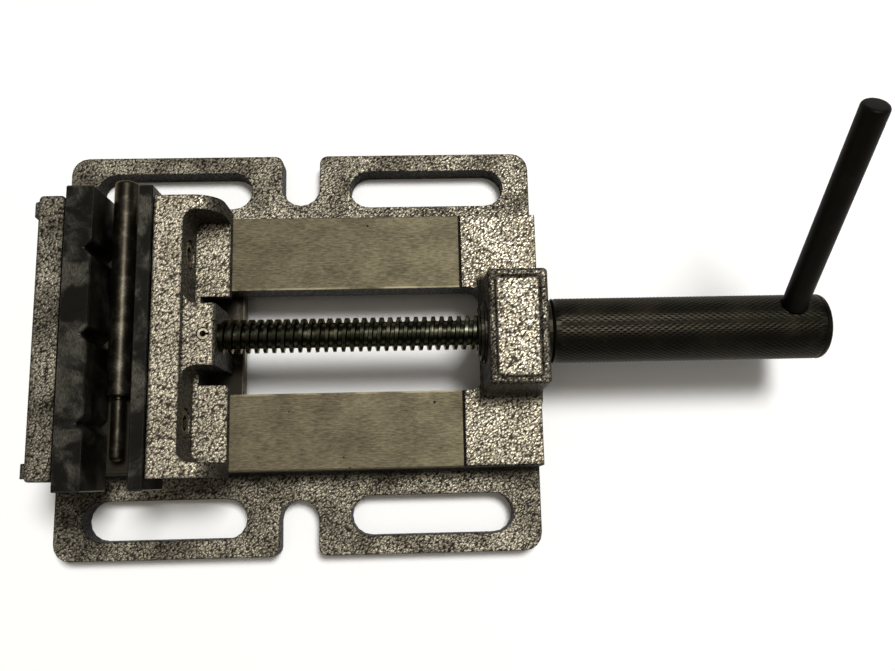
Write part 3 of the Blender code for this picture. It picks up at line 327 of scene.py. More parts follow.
@dataclass(frozen=True)
class HammeredPaint:
    """Silver-grey hammered enamel on cast iron, with bare ground ways where the base has them.

    Aluminium flake in the wet enamel draws together into low pebbles about a millimetre across,
    leaning one way as the coat ran. The flake lies level on the pebbles and shines there, and the
    creases between them are painted dark, as painted shade. Steep walls and the edges rounded into
    them are painted dark too, as painted shade. The coat is drawn darker in patches on the low
    flange and behind the rear end, and the rim of the bearing block is darkened as painted shade.
    """

    name: str
    # The creases between the pebbles are painted this dark colour, as painted shade.
    crease_shade: str = "332e26"
    flake: str = "b3a993"
    bright: str = "d8cfb8"
    # Steep walls and the edges rounded into them take this colour, as painted shade, keeping a share
    # of the paint.
    wall_shade: str = "0d0c0a"
    paint_left_in_wall_shade: float = 0.15
    wall_shade_slope: tuple[float, float] = (0.7, 0.998)
    # The bevel radius over which edges take the painted wall shade.
    edge_shade_mm: float = 1.5
    pebble_mm: float = 0.66
    grain_mm: float = 0.32
    grain_share: float = 0.55
    creases: tuple[float, float] = (1.02, 0.52)
    swirl_mm: float = 1.3
    swirl_push: float = 1.1 * MM
    run_angle: float = 38.0
    run_stretch: float = 1.6
    relief: float = 0.15 * MM
    metal: float = 0.72
    rough: tuple[float, float] = (0.6, 0.4)
    polish: tuple[float, float] = (0.03, 0.15)
    patch_mm: float = 14.0
    # How deep the patchy darkening goes at the patch noise's two ends.
    darkening: tuple[float, float] = (0.68, 0.28)
    # Below this height the flange is drawn darker in patches.
    darker_below: float = 15.0 * MM
    darker_below_fade: float = 4.0 * MM
    # Behind this the casting is drawn darker in patches.
    rear: float = -119.0 * MM
    rear_fade: float = 2.0 * MM
    rear_darkening: float = 1.25
    # Above this height the block's rim is darkened, as painted shade.
    rim_shade_top: float = 50.3 * MM
    rim_shade_fade: float = 0.5 * MM
    rim_shade_depth: float = 1.35
    ways: GroundIron | None = None

    def pebbles(self, tree: bpy.types.NodeTree,
                place: bpy.types.NodeSocket) -> bpy.types.NodeSocket:
        """The hammered relief.

        Args:
            tree: The material's tree.
            place: The object coordinates.

        Returns:
            An output that is 1 on the pebbles and 0 in the creases.
        """
        run = add_node(tree, "ShaderNodeMapping", {
            "Vector": place, "Rotation": (0, 0, math.radians(self.run_angle)),
            "Scale": (self.run_stretch, 1, 1)}, vector_type="TEXTURE")
        swirl = add_node(tree, "ShaderNodeTexNoise", {
            "Vector": run.outputs[0], "Scale": per_metre(self.swirl_mm), "Detail": 2.0})
        shift = add_node(tree, "ShaderNodeVectorMath", {
            0: swirl.outputs["Color"], 1: (0.5, 0.5, 0.5)}, operation="SUBTRACT")
        pushed = add_node(tree, "ShaderNodeVectorMath", {
            0: shift.outputs[0], 1: (self.swirl_push,) * 3, 2: run.outputs[0]},
            operation="MULTIPLY_ADD")
        pebble = add_node(tree, "ShaderNodeTexVoronoi", {
            "Vector": pushed.outputs[0], "Scale": per_metre(self.pebble_mm),
            "Smoothness": 0.35, "Detail": 0.0}, feature="SMOOTH_F1")
        grain = add_node(tree, "ShaderNodeTexNoise", {
            "Vector": pushed.outputs[0], "Scale": per_metre(self.grain_mm), "Detail": 2.0})
        relief = add_node(tree, "ShaderNodeMath", {
            0: grain.outputs["Fac"], 1: self.grain_share, 2: pebble.outputs["Distance"]},
            operation="MULTIPLY_ADD")
        height = add_node(tree, "ShaderNodeMapRange", {
            "Value": relief.outputs[0], "From Min": self.creases[0],
            "From Max": self.creases[1]})
        return height.outputs[0]

    def left_after_darkening(self, tree: bpy.types.NodeTree, axes: bpy.types.Node,
                    patch: bpy.types.NodeSocket) -> bpy.types.NodeSocket:
        """How much brightness the paint keeps where it is drawn darker in patches: on the low
        flange, behind the rear end, and on the block's rim as painted shade.

        Args:
            tree: The material's tree.
            axes: The node that splits the object coordinates.
            patch: The patchy noise that sets how deep the darkening goes.

        Returns:
            An output that is 1 where the paint is not drawn darker, and less where it is.
        """
        darkened = 0.0
        # The low flange and the casting behind the rear end are drawn darker; above a height, the
        # block's rim is darkened as painted shade.
        for axis, start, full, most in (
                ("Z", self.darker_below + self.darker_below_fade, self.darker_below, 1.0),
                ("X", self.rear + self.rear_fade, self.rear, self.rear_darkening),
                ("Z", self.rim_shade_top, self.rim_shade_top + self.rim_shade_fade, self.rim_shade_depth)):
            zone = add_node(tree, "ShaderNodeMapRange", {
                "Value": axes.outputs[axis], "From Min": start, "From Max": full,
                "To Max": most})
            darkened = add_node(tree, "ShaderNodeMath", {0: darkened, 1: zone.outputs[0]},
                              operation="MAXIMUM").outputs[0]
        patchy_depth = add_node(tree, "ShaderNodeMapRange", {
            "Value": patch, "From Min": 0.3, "From Max": 0.7, "To Min": self.darkening[0],
            "To Max": self.darkening[1]})
        darkening = add_node(tree, "ShaderNodeMath", {0: darkened, 1: patchy_depth.outputs[0]},
                        operation="MULTIPLY")
        kept_brightness = add_node(tree, "ShaderNodeMath", {0: 1.0, 1: darkening.outputs[0]},
                         operation="SUBTRACT")
        return kept_brightness.outputs[0]

    def build(self) -> bpy.types.Material:
        """Builds the paint's material.

        Returns:
            The material, with one Principled shader.
        """
        material, tree = new_material(self.name)
        place = add_node(tree, "ShaderNodeTexCoord").outputs["Object"]
        axes = add_node(tree, "ShaderNodeSeparateXYZ", {0: place})
        height = self.pebbles(tree, place)
        patch = add_node(tree, "ShaderNodeTexNoise", {
            "Vector": place, "Scale": per_metre(self.patch_mm), "Detail": 3.0}).outputs["Fac"]
        shine = add_node(tree, "ShaderNodeMapRange", {
            "Value": patch, "From Min": 0.35, "From Max": 0.65})
        tone = add_node(tree, "ShaderNodeMix", {
            "Factor": shine.outputs[0], COLOR_A: linear(self.flake),
            COLOR_B: linear(self.bright)}, data_type="RGBA")
        # The creases take the dark crease colour, as painted shade.
        crease_shaded = add_node(tree, "ShaderNodeMix", {
            "Factor": height, COLOR_A: linear(self.crease_shade),
            COLOR_B: tone.outputs[MIXED_COLOR]}, data_type="RGBA")
        darkened = add_node(tree, "ShaderNodeVectorMath", {
            0: crease_shaded.outputs[MIXED_COLOR], "Scale": self.left_after_darkening(tree, axes, patch)},
            operation="SCALE")
        # Steep walls, and the edges rounded into them over the bevel's radius, are painted dark, as
        # painted shade.
        face = add_node(tree, "ShaderNodeBevel", {"Radius": self.edge_shade_mm * MM}, samples=6)
        facing = add_node(tree, "ShaderNodeSeparateXYZ", {0: face.outputs[0]})
        level = add_node(tree, "ShaderNodeMapRange", {
            "Value": facing.outputs["Z"], "From Min": self.wall_shade_slope[0],
            "From Max": self.wall_shade_slope[1], "To Min": self.paint_left_in_wall_shade},
            interpolation_type="SMOOTHSTEP")
        coat = add_node(tree, "ShaderNodeMix", {
            "Factor": level.outputs[0], COLOR_A: linear(self.wall_shade),
            COLOR_B: darkened.outputs[0]}, data_type="RGBA")
        rough = add_node(tree, "ShaderNodeMapRange", {
            "Value": height, "To Min": self.rough[0], "To Max": self.rough[1]})
        bump = add_node(tree, "ShaderNodeBump", {
            "Height": height, "Strength": 1.0, "Distance": self.relief})
        metal = add_node(tree, "ShaderNodeMapRange", {
            "Value": level.outputs[0], "To Min": 0.0, "To Max": self.metal})
        polish = add_node(tree, "ShaderNodeMapRange", {
            "Value": level.outputs[0], "To Min": self.polish[0], "To Max": self.polish[1]})
        look = Look(coat.outputs[MIXED_COLOR], rough.outputs[0], bump.outputs[0],
                    metal.outputs[0])
        if self.ways is not None:
            look = self.ways.lay_over(tree, place, axes, look)
        shader = add_node(tree, "ShaderNodeBsdfPrincipled", {
            "Base Color": look.color, "Roughness": look.rough, "Normal": look.normal,
            "Metallic": look.metal, "Specular IOR Level": polish.outputs[0]})
        add_node(tree, "ShaderNodeOutputMaterial", {"Surface": shader.outputs[0]})
        return material


@dataclass(frozen=True)
class DarkSteel:
    """Steel with a black oxide skin, oiled or worn.

    Black oxide is a thin dark skin that keeps the ground surface's sheen, and goes grey where
    it is rubbed. A ground or drawn part shows fine lines along one axis. The real lines are finer
    than a tenth of a millimetre, and are drawn coarser here, so that they show.
    """

    name: str
    skin: str
    rubbed_and_highlight: str
    patch_mm: float = 9.0
    wear: float = 0.5
    border: float = 0.3
    lines_mm: float = 0.5
    lines_least: float = 0.25
    stretch: tuple[float, float, float] = (1.0, 1.0, 1.0)
    metal: float = 0.75
    rough: tuple[float, float] = (0.32, 0.5)
    relief: float = 0.04 * MM
    edge_mm: float = 0.5
    edge: float = 0.6
    edge_turn: tuple[float, float] = (0.99, 0.86)
    sheen: float = 0.4
    tint: str = "fff0d2"
    round_z: float | None = None
    round_share: float = 1.0
    round_turn: float = 0.75

    def round_normal(self, tree: bpy.types.NodeTree,
                     place: bpy.types.NodeSocket) -> bpy.types.NodeSocket:
        """The normal of the round bar that a faceted or knurled piece was made from.

        Args:
            tree: The material's tree.
            place: The object coordinates.

        Returns:
            A normal that is mixed with the mesh's own by the round share, and is the mesh's own
            on the thread's flanks, on end faces and in holes.
        """
        arm = add_node(tree, "ShaderNodeVectorMath", {
            0: place, 1: (0, 1, 1), 2: (0, 0, -self.round_z)}, operation="MULTIPLY_ADD")
        unit = add_node(tree, "ShaderNodeVectorMath", {0: arm.outputs[0]}, operation="NORMALIZE")
        radial = add_node(tree, "ShaderNodeVectorTransform", {"Vector": unit.outputs[0]},
                          vector_type="NORMAL", convert_from="OBJECT", convert_to="WORLD")
        own = add_node(tree, "ShaderNodeNewGeometry").outputs["Normal"]
        match = add_node(tree, "ShaderNodeVectorMath", {0: own, 1: radial.outputs[0]},
                         operation="DOT_PRODUCT")
        steep = add_node(tree, "ShaderNodeMath", {
            0: match.outputs["Value"], 1: self.round_turn}, operation="LESS_THAN")
        keep = add_node(tree, "ShaderNodeMath", {0: steep.outputs[0], 1: 1 - self.round_share},
                        operation="MAXIMUM")
        mixed = add_node(tree, "ShaderNodeMix", {
            "Factor": keep.outputs[0], VECTOR_A: radial.outputs[0], VECTOR_B: own},
            data_type="VECTOR")
        return mixed.outputs[MIXED_VECTOR]

    def wear_and_highlight_share(self, tree: bpy.types.NodeTree, patch: bpy.types.NodeSocket,
                     lines: bpy.types.NodeSocket) -> bpy.types.NodeSocket:
        """Where the skin is rubbed through: in patches and along the edges. On the keeper plate
        the bright edges are partly a painted highlight.

        Args:
            tree: The material's tree.
            patch: The noise of the wear patches.
            lines: The noise of the grinding lines.

        Returns:
            An output that is 0 on whole skin, and 1 on bare steel and on the keeper's painted
            highlight.
        """
        middle = 0.7 - 0.25 * self.wear
        patchy = add_node(tree, "ShaderNodeMapRange", {
            "Value": patch, "From Min": middle - self.border / 2,
            "From Max": middle + self.border / 2}, interpolation_type="SMOOTHSTEP")
        fine = add_node(tree, "ShaderNodeMapRange", {
            "Value": lines, "From Min": 0.35, "From Max": 0.7, "To Min": self.lines_least})
        spots = add_node(tree, "ShaderNodeMath", {0: patchy.outputs[0], 1: fine.outputs[0]},
                         operation="MULTIPLY")
        # Along the edges: wear, and on the keeper plate partly a painted highlight.
        rounded = add_node(tree, "ShaderNodeBevel", {"Radius": self.edge_mm * MM}, samples=4)
        flat = add_node(tree, "ShaderNodeNewGeometry")
        turn = add_node(tree, "ShaderNodeVectorMath", {
            0: rounded.outputs[0], 1: flat.outputs["Normal"]}, operation="DOT_PRODUCT")
        rim = add_node(tree, "ShaderNodeMapRange", {
            "Value": turn.outputs["Value"], "From Min": self.edge_turn[0],
            "From Max": self.edge_turn[1], "To Max": self.edge})
        edges = add_node(tree, "ShaderNodeMath", {0: rim.outputs[0], 1: fine.outputs[0]},
                         operation="MULTIPLY")
        total = add_node(tree, "ShaderNodeMath", {0: spots.outputs[0], 1: edges.outputs[0]},
                         operation="MAXIMUM")
        return total.outputs[0]

    def build(self) -> bpy.types.Material:
        """Builds the steel's material.

        Returns:
            The material, with one Principled shader.
        """
        material, tree = new_material(self.name)
        place = add_node(tree, "ShaderNodeTexCoord").outputs["Object"]
        patch = add_node(tree, "ShaderNodeTexNoise", {
            "Vector": place, "Scale": per_metre(self.patch_mm), "Detail": 5.0,
            "Roughness": 0.62, "Distortion": 0.4}).outputs["Fac"]
        along = add_node(tree, "ShaderNodeMapping", {"Vector": place, "Scale": self.stretch})
        lines = add_node(tree, "ShaderNodeTexNoise", {
            "Vector": along.outputs[0], "Scale": per_metre(self.lines_mm), "Detail": 3.0,
            "Roughness": 0.6}).outputs["Fac"]
        color = add_node(tree, "ShaderNodeMix", {
            "Factor": self.wear_and_highlight_share(tree, patch, lines), COLOR_A: linear(self.skin),
            COLOR_B: linear(self.rubbed_and_highlight)}, data_type="RGBA")
        rough = add_node(tree, "ShaderNodeMapRange", {
            "Value": patch, "From Min": 0.35, "From Max": 0.65, "To Min": self.rough[0],
            "To Max": self.rough[1]})
        bump = add_node(tree, "ShaderNodeBump", {
            "Height": lines, "Strength": 0.4, "Distance": self.relief})
        if self.round_z is not None:
            tree.links.new(self.round_normal(tree, place), bump.inputs["Normal"])
        shader = add_node(tree, "ShaderNodeBsdfPrincipled", {
            "Base Color": color.outputs[MIXED_COLOR], "Roughness": rough.outputs[0],
            "Normal": bump.outputs[0], "Metallic": self.metal,
            "Specular IOR Level": self.sheen, "Specular Tint": linear(self.tint)})
        add_node(tree, "ShaderNodeOutputMaterial", {"Surface": shader.outputs[0]})
        return material


PAINT = HammeredPaint("hammered_silver_enamel")
PAINT_AND_WAYS = HammeredPaint("hammered_enamel_with_ground_ways", ways=GroundIron())
# Ground flat and blackened: dark and even, greyer where work has rubbed it.
PLATE_STEEL = DarkSteel("black_oxide_ground_steel", "11110f", "55524a", patch_mm=15.0, wear=0.6,
                        border=0.17, lines_mm=0.35, stretch=(1.0, 0.3, 1.0), metal=0.6,
                        rough=(0.3, 0.5), sheen=0.22, tint="fff8ea")
# Dark, with a bright edge that is partly wear and partly a painted highlight: the line that shows
# through the window.
KEEPER_STEEL = DarkSteel("keeper_steel_worn_edge_painted_highlight", "191713", "b8b09c", patch_mm=15.0, wear=0.0,
                         lines_mm=0.35, metal=0.6, rough=(0.3, 0.4), edge_mm=0.9, edge=1.0)
# Hardened and blackened screws: brown-black with a dull gloss.
FASTENER_STEEL = DarkSteel("black_alloy_fastener_steel", "17160f", "4b483b", patch_mm=2.5,
                           lines_mm=0.4, metal=0.4, rough=(0.3, 0.45), sheen=0.25)
# A cut thread under old oil: olive-grey metal with a bright line along its top.
SCREW_STEEL = DarkSteel("oiled_cut_thread_steel", "24241b", "68675a", patch_mm=5.0, wear=0.3,
                        lines_mm=0.35, metal=1.0, rough=(0.26, 0.32), edge_mm=0.15, edge=0.4,
                        round_z=SCREW_AXIS_Z)
# Spring steel with no skin: pale and bright.
PIN_STEEL = DarkSteel("bright_spring_steel", "a39b86", "d8d0ba", patch_mm=1.5, wear=0.6,
                      lines_mm=0.3, metal=0.9, rough=(0.3, 0.4), edge_mm=0.2)
# Blackened after knurling: nearly black, with a soft line of light along the top.
KNURL_STEEL = DarkSteel("knurled_black_oxide_steel", "0c0b08", "2a271d", patch_mm=16.0,
                        wear=0.35, lines_mm=0.5, metal=0.2, rough=(0.3, 0.38), edge_mm=0.15,
                        edge=0.8, sheen=0.11, round_z=SCREW_AXIS_Z, round_share=0.6)
# A drawn bar with a thin skin: dark grey metal with a clear shine.
BAR_STEEL = DarkSteel("drawn_black_bar_steel", "25221c", "5c574c", patch_mm=6.0, wear=0.45,
                      lines_mm=0.6, metal=0.9, rough=(0.34, 0.42), edge_mm=0.3)
# The same bar as the spare one, drawn nearly black and dull.
CRANK_STEEL = DarkSteel("dull_black_bar_steel", "0b0a08", "191712", patch_mm=10.0, wear=0.35,
                        lines_mm=0.6, metal=0.0, rough=(0.42, 0.52), edge_mm=0.3, sheen=0.05)
# Blackened washers and ring, nearly black and dull.
WASHER_STEEL = DarkSteel("oiled_black_ring_steel", "12110d", "332f27", patch_mm=3.0, wear=0.4,
                         lines_mm=0.4, metal=0.3, rough=(0.35, 0.5), edge_mm=0.2, sheen=0.2)


def deselect() -> None:
    """Leaves nothing selected and nothing active."""
    if bpy.context.object and bpy.context.object.mode != "OBJECT":
        bpy.ops.object.mode_set(mode="OBJECT")
    bpy.ops.object.select_all(action="DESELECT")
    bpy.context.view_layer.objects.active = None


def apply_modifier(obj: bpy.types.Object, kind: str, **settings: object) -> None:
    """Adds a modifier with its settings and applies it.

    Args:
        obj: The object, which becomes the active one.
        kind: The modifier's type.
        settings: The modifier's properties.
    """
    bpy.context.view_layer.objects.active = obj
    change = obj.modifiers.new(kind.lower(), kind)
    for key, value in settings.items():
        setattr(change, key, value)
    bpy.ops.object.modifier_apply(modifier=change.name)


def settle(obj: bpy.types.Object, angle: float = 35.0) -> None:
    """Applies the object's place, and smooths what is flatter than an angle.

    Args:
        obj: The object.
        angle: The least angle of a sharp edge, in degrees.
    """
    deselect()
    obj.select_set(True)
    bpy.context.view_layer.objects.active = obj
    bpy.ops.object.transform_apply(location=True, rotation=True, scale=True)
    bpy.ops.object.shade_smooth_by_angle(angle=math.radians(angle))
    deselect()


def turned_piece(name: str, profile: list[tuple[float, float]], foot: Vector, along: Vector,
                 steps: int = 64) -> bpy.types.Object:
    """Turns a profile round an axis, as on a lathe.

    Args:
        name: The piece's name.
        profile: Distance along the axis and radius of each point; both ends lie on the axis.
        foot: Where the axis starts.
        along: The axis' direction.
        steps: Faces round the piece.

    Returns:
        The closed piece, with its place in its mesh.
    """
    deselect()
    bpy.ops.mesh.primitive_plane_add(size=MM, location=(0, 0, 0))
    obj = bpy.context.object
    obj.name = obj.data.name = name
    bpy.ops.object.mode_set(mode="EDIT")
    bpy.ops.mesh.select_all(action="SELECT")
    bpy.ops.mesh.merge(type="CENTER")
    bpy.ops.transform.translate(value=(profile[0][1], 0, profile[0][0]))
    for (start, near), (end, far) in zip(profile, profile[1:]):
        bpy.ops.mesh.extrude_vertices_move(
            TRANSFORM_OT_translate={"value": (far - near, 0, end - start)})
    bpy.ops.object.mode_set(mode="OBJECT")
    apply_modifier(obj, "SCREW", axis="Z", steps=steps, render_steps=steps,
                   use_merge_vertices=True, merge_threshold=MERGE)
    bpy.ops.object.mode_set(mode="EDIT")
    bpy.ops.mesh.select_all(action="SELECT")
    bpy.ops.mesh.remove_doubles(threshold=MERGE)
    bpy.ops.mesh.normals_make_consistent(inside=False)
    bpy.ops.object.mode_set(mode="OBJECT")
    turn = along.to_track_quat("Z", "Y").to_matrix().to_4x4()
    obj.matrix_world = Matrix.Translation(foot) @ turn
    settle(obj)
    return obj


def quarter(center: tuple[float, float], radius: float, first: float, last: float,
            steps: int = 6) -> list[tuple[float, float]]:
    """Points of an arc in a profile.

    Args:
        center: Distance along the axis and radius of the arc's centre.
        radius: The arc's radius.
        first: Start angle in degrees, 0 being along the axis.
        last: End angle in degrees.
        steps: Number of segments.

    Returns:
        The arc's points, both ends among them.
    """
    turns = [math.radians(first + (last - first) * i / steps) for i in range(steps + 1)]
    return [(center[0] + radius * math.cos(a), center[1] + radius * math.sin(a)) for a in turns]


def dress(node: str, finish: bpy.types.Material) -> None:
    """Gives a CAD node its finish.

    Args:
        node: The node's name.
        finish: The material for all of its faces.
    """
    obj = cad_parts[node]
    obj.data.materials.clear()
    obj.data.materials.append(finish)
    LOG.info("dressed %s with %s", node, finish.name)


def hand_over(obj: bpy.types.Object, finish: bpy.types.Material, body: Body,
              node: str) -> None:
    """Finishes a new piece that stands for a CAD node.

    Args:
        obj: The new piece.
        finish: Its material.
        body: The body that it rides on.
        node: The CAD node that it stands for.
    """
    obj.data.materials.clear()
    obj.data.materials.append(finish)
    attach(obj, body.value)
    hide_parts(node)
    LOG.info("made %s for %s, %d faces", obj.name, node, len(obj.data.polygons))


@dataclass
class Studio:
    """The pale floor, the soft light and the camera at the photograph's angle."""

    camera_place: tuple[float, float, float] = (-0.00273, -0.05053, 0.332)
    camera_turn: tuple[float, float, float] = (9.61546, -1.53989, -1.34114)
    focal_mm: float = 34.237
    sensor_mm: float = 36.0
    camera_nearest: float = 10 * MM
    floor_size: float = 6.0
    floor_drop: float = 0.4 * MM
    near_floor: float = 0.5
    far_floor: float = 1.3
    paper_lit: str = "7c7a76"
    paper_seen: str = "fdfdfc"
    key_place: tuple[float, float, float] = (0.42, 0.57, 2.28)
    key_aim: tuple[float, float, float] = (0.0, 0.0, 0.02)
    key_size: float = 0.6
    key_watts: float = 50.0
    overhead: float = 0.8
    overhead_span: tuple[float, float] = (0.78, 0.97)
    ceiling_tint: str = "fff0d8"
    room: float = 0.06
    backdrop: float = 0.97
    backdrop_span: tuple[float, float] = (0.3, 0.14)

    def build(self) -> None:
        """Builds floor, light, world and camera."""
        self.build_floor()
        self.build_light()
        self.build_world()
        self.build_camera()

    def build_floor(self) -> None:
        """Lays a white sheet under the base, which far off glows as a white backdrop does.

        The camera and glossy reflections see white paper, and the object is lit by a darker one,
        so that the floor throws little light up on it.
        """
        deselect()
        bpy.ops.mesh.primitive_plane_add(size=self.floor_size,
                                         location=(0, 0, -self.floor_drop))
        floor = bpy.context.object
        floor.name = "floor_sheet"
        material, tree = new_material("matt_white_paper")
        ray = add_node(tree, "ShaderNodeLightPath")
        seen = 0.0
        for kind in ("Is Camera Ray", "Is Glossy Ray", "Is Transmission Ray"):
            seen = add_node(tree, "ShaderNodeMath", {0: seen, 1: ray.outputs[kind]},
                            operation="MAXIMUM").outputs[0]
        place = add_node(tree, "ShaderNodeTexCoord")
        away = add_node(tree, "ShaderNodeVectorMath", {0: place.outputs["Object"]},
                        operation="LENGTH")
        far = add_node(tree, "ShaderNodeMapRange", {
            "Value": away.outputs["Value"], "From Min": self.near_floor,
            "From Max": self.far_floor}, interpolation_type="SMOOTHSTEP")
        glow = add_node(tree, "ShaderNodeMath", {0: far.outputs[0], 1: seen},
                        operation="MULTIPLY")
        near_paper = add_node(tree, "ShaderNodeMix", {
            "Factor": seen, COLOR_A: linear(self.paper_lit),
            COLOR_B: linear(self.paper_seen)}, data_type="RGBA")
        paper = add_node(tree, "ShaderNodeMix", {
            "Factor": glow.outputs[0], COLOR_A: near_paper.outputs[MIXED_COLOR],
            COLOR_B: linear("000000")}, data_type="RGBA")
        shader = add_node(tree, "ShaderNodeBsdfPrincipled", {
            "Base Color": paper.outputs[MIXED_COLOR], "Roughness": 0.9,
            "Specular IOR Level": 0.1, "Emission Color": linear(self.paper_seen),
            "Emission Strength": glow.outputs[0]})
        add_node(tree, "ShaderNodeOutputMaterial", {"Surface": shader.outputs[0]})
        floor.data.materials.append(material)

    def build_light(self) -> None:
        """Hangs one soft box nearly overhead, a little to the back and the handle's side."""
        deselect()
        bpy.ops.object.light_add(type="AREA", location=self.key_place)
        lamp = bpy.context.object
        lamp.name = "soft_box"
        lamp.data.shape = "SQUARE"
        lamp.data.size = self.key_size
        lamp.data.energy = self.key_watts
        aim = Vector(self.key_aim) - lamp.location
        lamp.rotation_euler = aim.to_track_quat("-Z", "Y").to_euler()

    def build_world(self) -> None:
        """Makes a bright ceiling, dark walls and a pale backdrop round the foot of the room."""
        world = bpy.data.worlds.new("studio_room")
        bpy.context.scene.world = world
        world.use_nodes = True
        tree = world.node_tree
        tree.nodes.clear()
        side = add_node(tree, "ShaderNodeTexCoord")
        axes = add_node(tree, "ShaderNodeSeparateXYZ", {0: side.outputs["Generated"]})
        ceiling = add_node(tree, "ShaderNodeMapRange", {
            "Value": axes.outputs["Z"], "From Min": self.overhead_span[0],
            "From Max": self.overhead_span[1], "To Min": self.room,
            "To Max": self.overhead}, interpolation_type="SMOOTHSTEP")
        foot = add_node(tree, "ShaderNodeMapRange", {
            "Value": axes.outputs["Z"], "From Min": self.backdrop_span[0],
            "From Max": self.backdrop_span[1], "To Max": self.backdrop},
            interpolation_type="SMOOTHSTEP")
        level = add_node(tree, "ShaderNodeMath", {0: ceiling.outputs[0], 1: foot.outputs[0]},
                         operation="MAXIMUM")
        warm = add_node(tree, "ShaderNodeMix", {
            "Factor": ceiling.outputs[0], COLOR_A: linear("ffffff"),
            COLOR_B: linear(self.ceiling_tint)}, data_type="RGBA")
        sky = add_node(tree, "ShaderNodeBackground", {
            "Color": warm.outputs[MIXED_COLOR], "Strength": level.outputs[0]})
        add_node(tree, "ShaderNodeOutputWorld", {"Surface": sky.outputs[0]})

    def build_camera(self) -> None:
        """Sets up the photograph's camera, nearly overhead and a little to the front."""
        data = bpy.data.cameras.new("photo_camera")
        camera = bpy.data.objects.new("photo_camera", data)
        bpy.context.scene.collection.objects.link(camera)
        turn = Euler([math.radians(angle) for angle in self.camera_turn]).to_matrix().to_4x4()
        camera.matrix_world = Matrix.Translation(self.camera_place) @ turn
        data.sensor_width = self.sensor_mm
        data.lens = self.focal_mm
        data.clip_start = self.camera_nearest
        bpy.context.scene.camera = camera
        bpy.context.scene.view_settings.view_transform = "Standard"


@dataclass
class CrankBar:
    """A turned bar: a plain grip, a shoulder, and a thin spigot at the other end."""

    grip_radius: float = 4.3 * MM
    grip_length: float = 78.2 * MM
    tip_radius: float = 1.2 * MM
    spigot_radius: float = 2.5 * MM
    spigot_length: float = 22.5 * MM
    spigot_tip: float = 1.6 * MM
    undercut: float = 0.5 * MM

    def build(self, name: str, shoulder: Vector, along: Vector) -> bpy.types.Object:
        """Turns the bar.

        Args:
            name: The piece's name.
            shoulder: Where the grip starts.
            along: The grip's direction.

        Returns:
            The bar.
        """
        grip, spigot, cut = self.grip_radius, self.spigot_radius, self.undercut
        tip = quarter((self.grip_length - self.tip_radius, grip - self.tip_radius),
                      self.tip_radius, 0, 90)
        end = quarter((self.spigot_tip - self.spigot_length, spigot - self.spigot_tip),
                      self.spigot_tip, 90, 180)
        profile = [(self.grip_length, 0.0)] + tip
        profile += [(cut, grip), (0.0, grip - cut), (0.0, spigot - cut),
                    (-2 * cut, spigot - cut), (-3 * cut, spigot)]
        profile += end + [(-self.spigot_length, 0.0)]
        return turned_piece(name, profile, shoulder, along)


@dataclass
class BaseAssembly:
    """The slotted casting, its jaw plate, screws and washer, and the spare bar on its ways."""

    fasteners: tuple[str, ...] = ("fixed_jaw_screw_front", "fixed_jaw_screw_back")
    spare: CrankBar = field(default_factory=CrankBar)

    def build(self, plate: bpy.types.Material, fastener: bpy.types.Material,
              ring: bpy.types.Material) -> None:
        """Dresses the base's pieces, and turns the spare bar.

        Args:
            plate: The jaw plates' finish.
            fastener: The finish of screws and bolts.
            ring: The finish of the washers at the block.
        """
        dress("base_casting", PAINT_AND_WAYS.build())
        dress("fixed_jaw_plate", plate)
        for node in self.fasteners:
            dress(node, fastener)
        dress("outer_thrust_washer", ring)
        low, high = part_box("spare_crank_bar")
        middle = (Vector(low) + Vector(high)) / 2
        shoulder = Vector((middle.x, low[1] + self.spare.spigot_length, middle.z))
        bar = self.spare.build("loose_bar", shoulder, Vector((0.0, 1.0, 0.0)))
        hand_over(bar, BAR_STEEL.build(), Body.BASE, "spare_crank_bar")


@dataclass
class JawAssembly:
    """The sliding jaw with its plate, screws, keeper, lead screw and lock pin."""

    fasteners: tuple[str, ...] = ("movable_jaw_screw_front", "movable_jaw_screw_back",
                                  "keeper_bolt_front", "keeper_bolt_back",
                                  "keeper_washer_front", "keeper_washer_back")

    def build(self, plate: bpy.types.Material, fastener: bpy.types.Material) -> None:
        """Dresses the jaw's pieces.

        Args:
            plate: The jaw plates' finish.
            fastener: The finish of screws and bolts.
        """
        dress("movable_jaw_casting", PAINT.build())
        dress("movable_jaw_plate", plate)
        dress("jaw_keeper_plate", KEEPER_STEEL.build())
        for node in self.fasteners:
            dress(node, fastener)
        dress("lead_screw", SCREW_STEEL.build())
        dress("screw_lock_pin", PIN_STEEL.build())


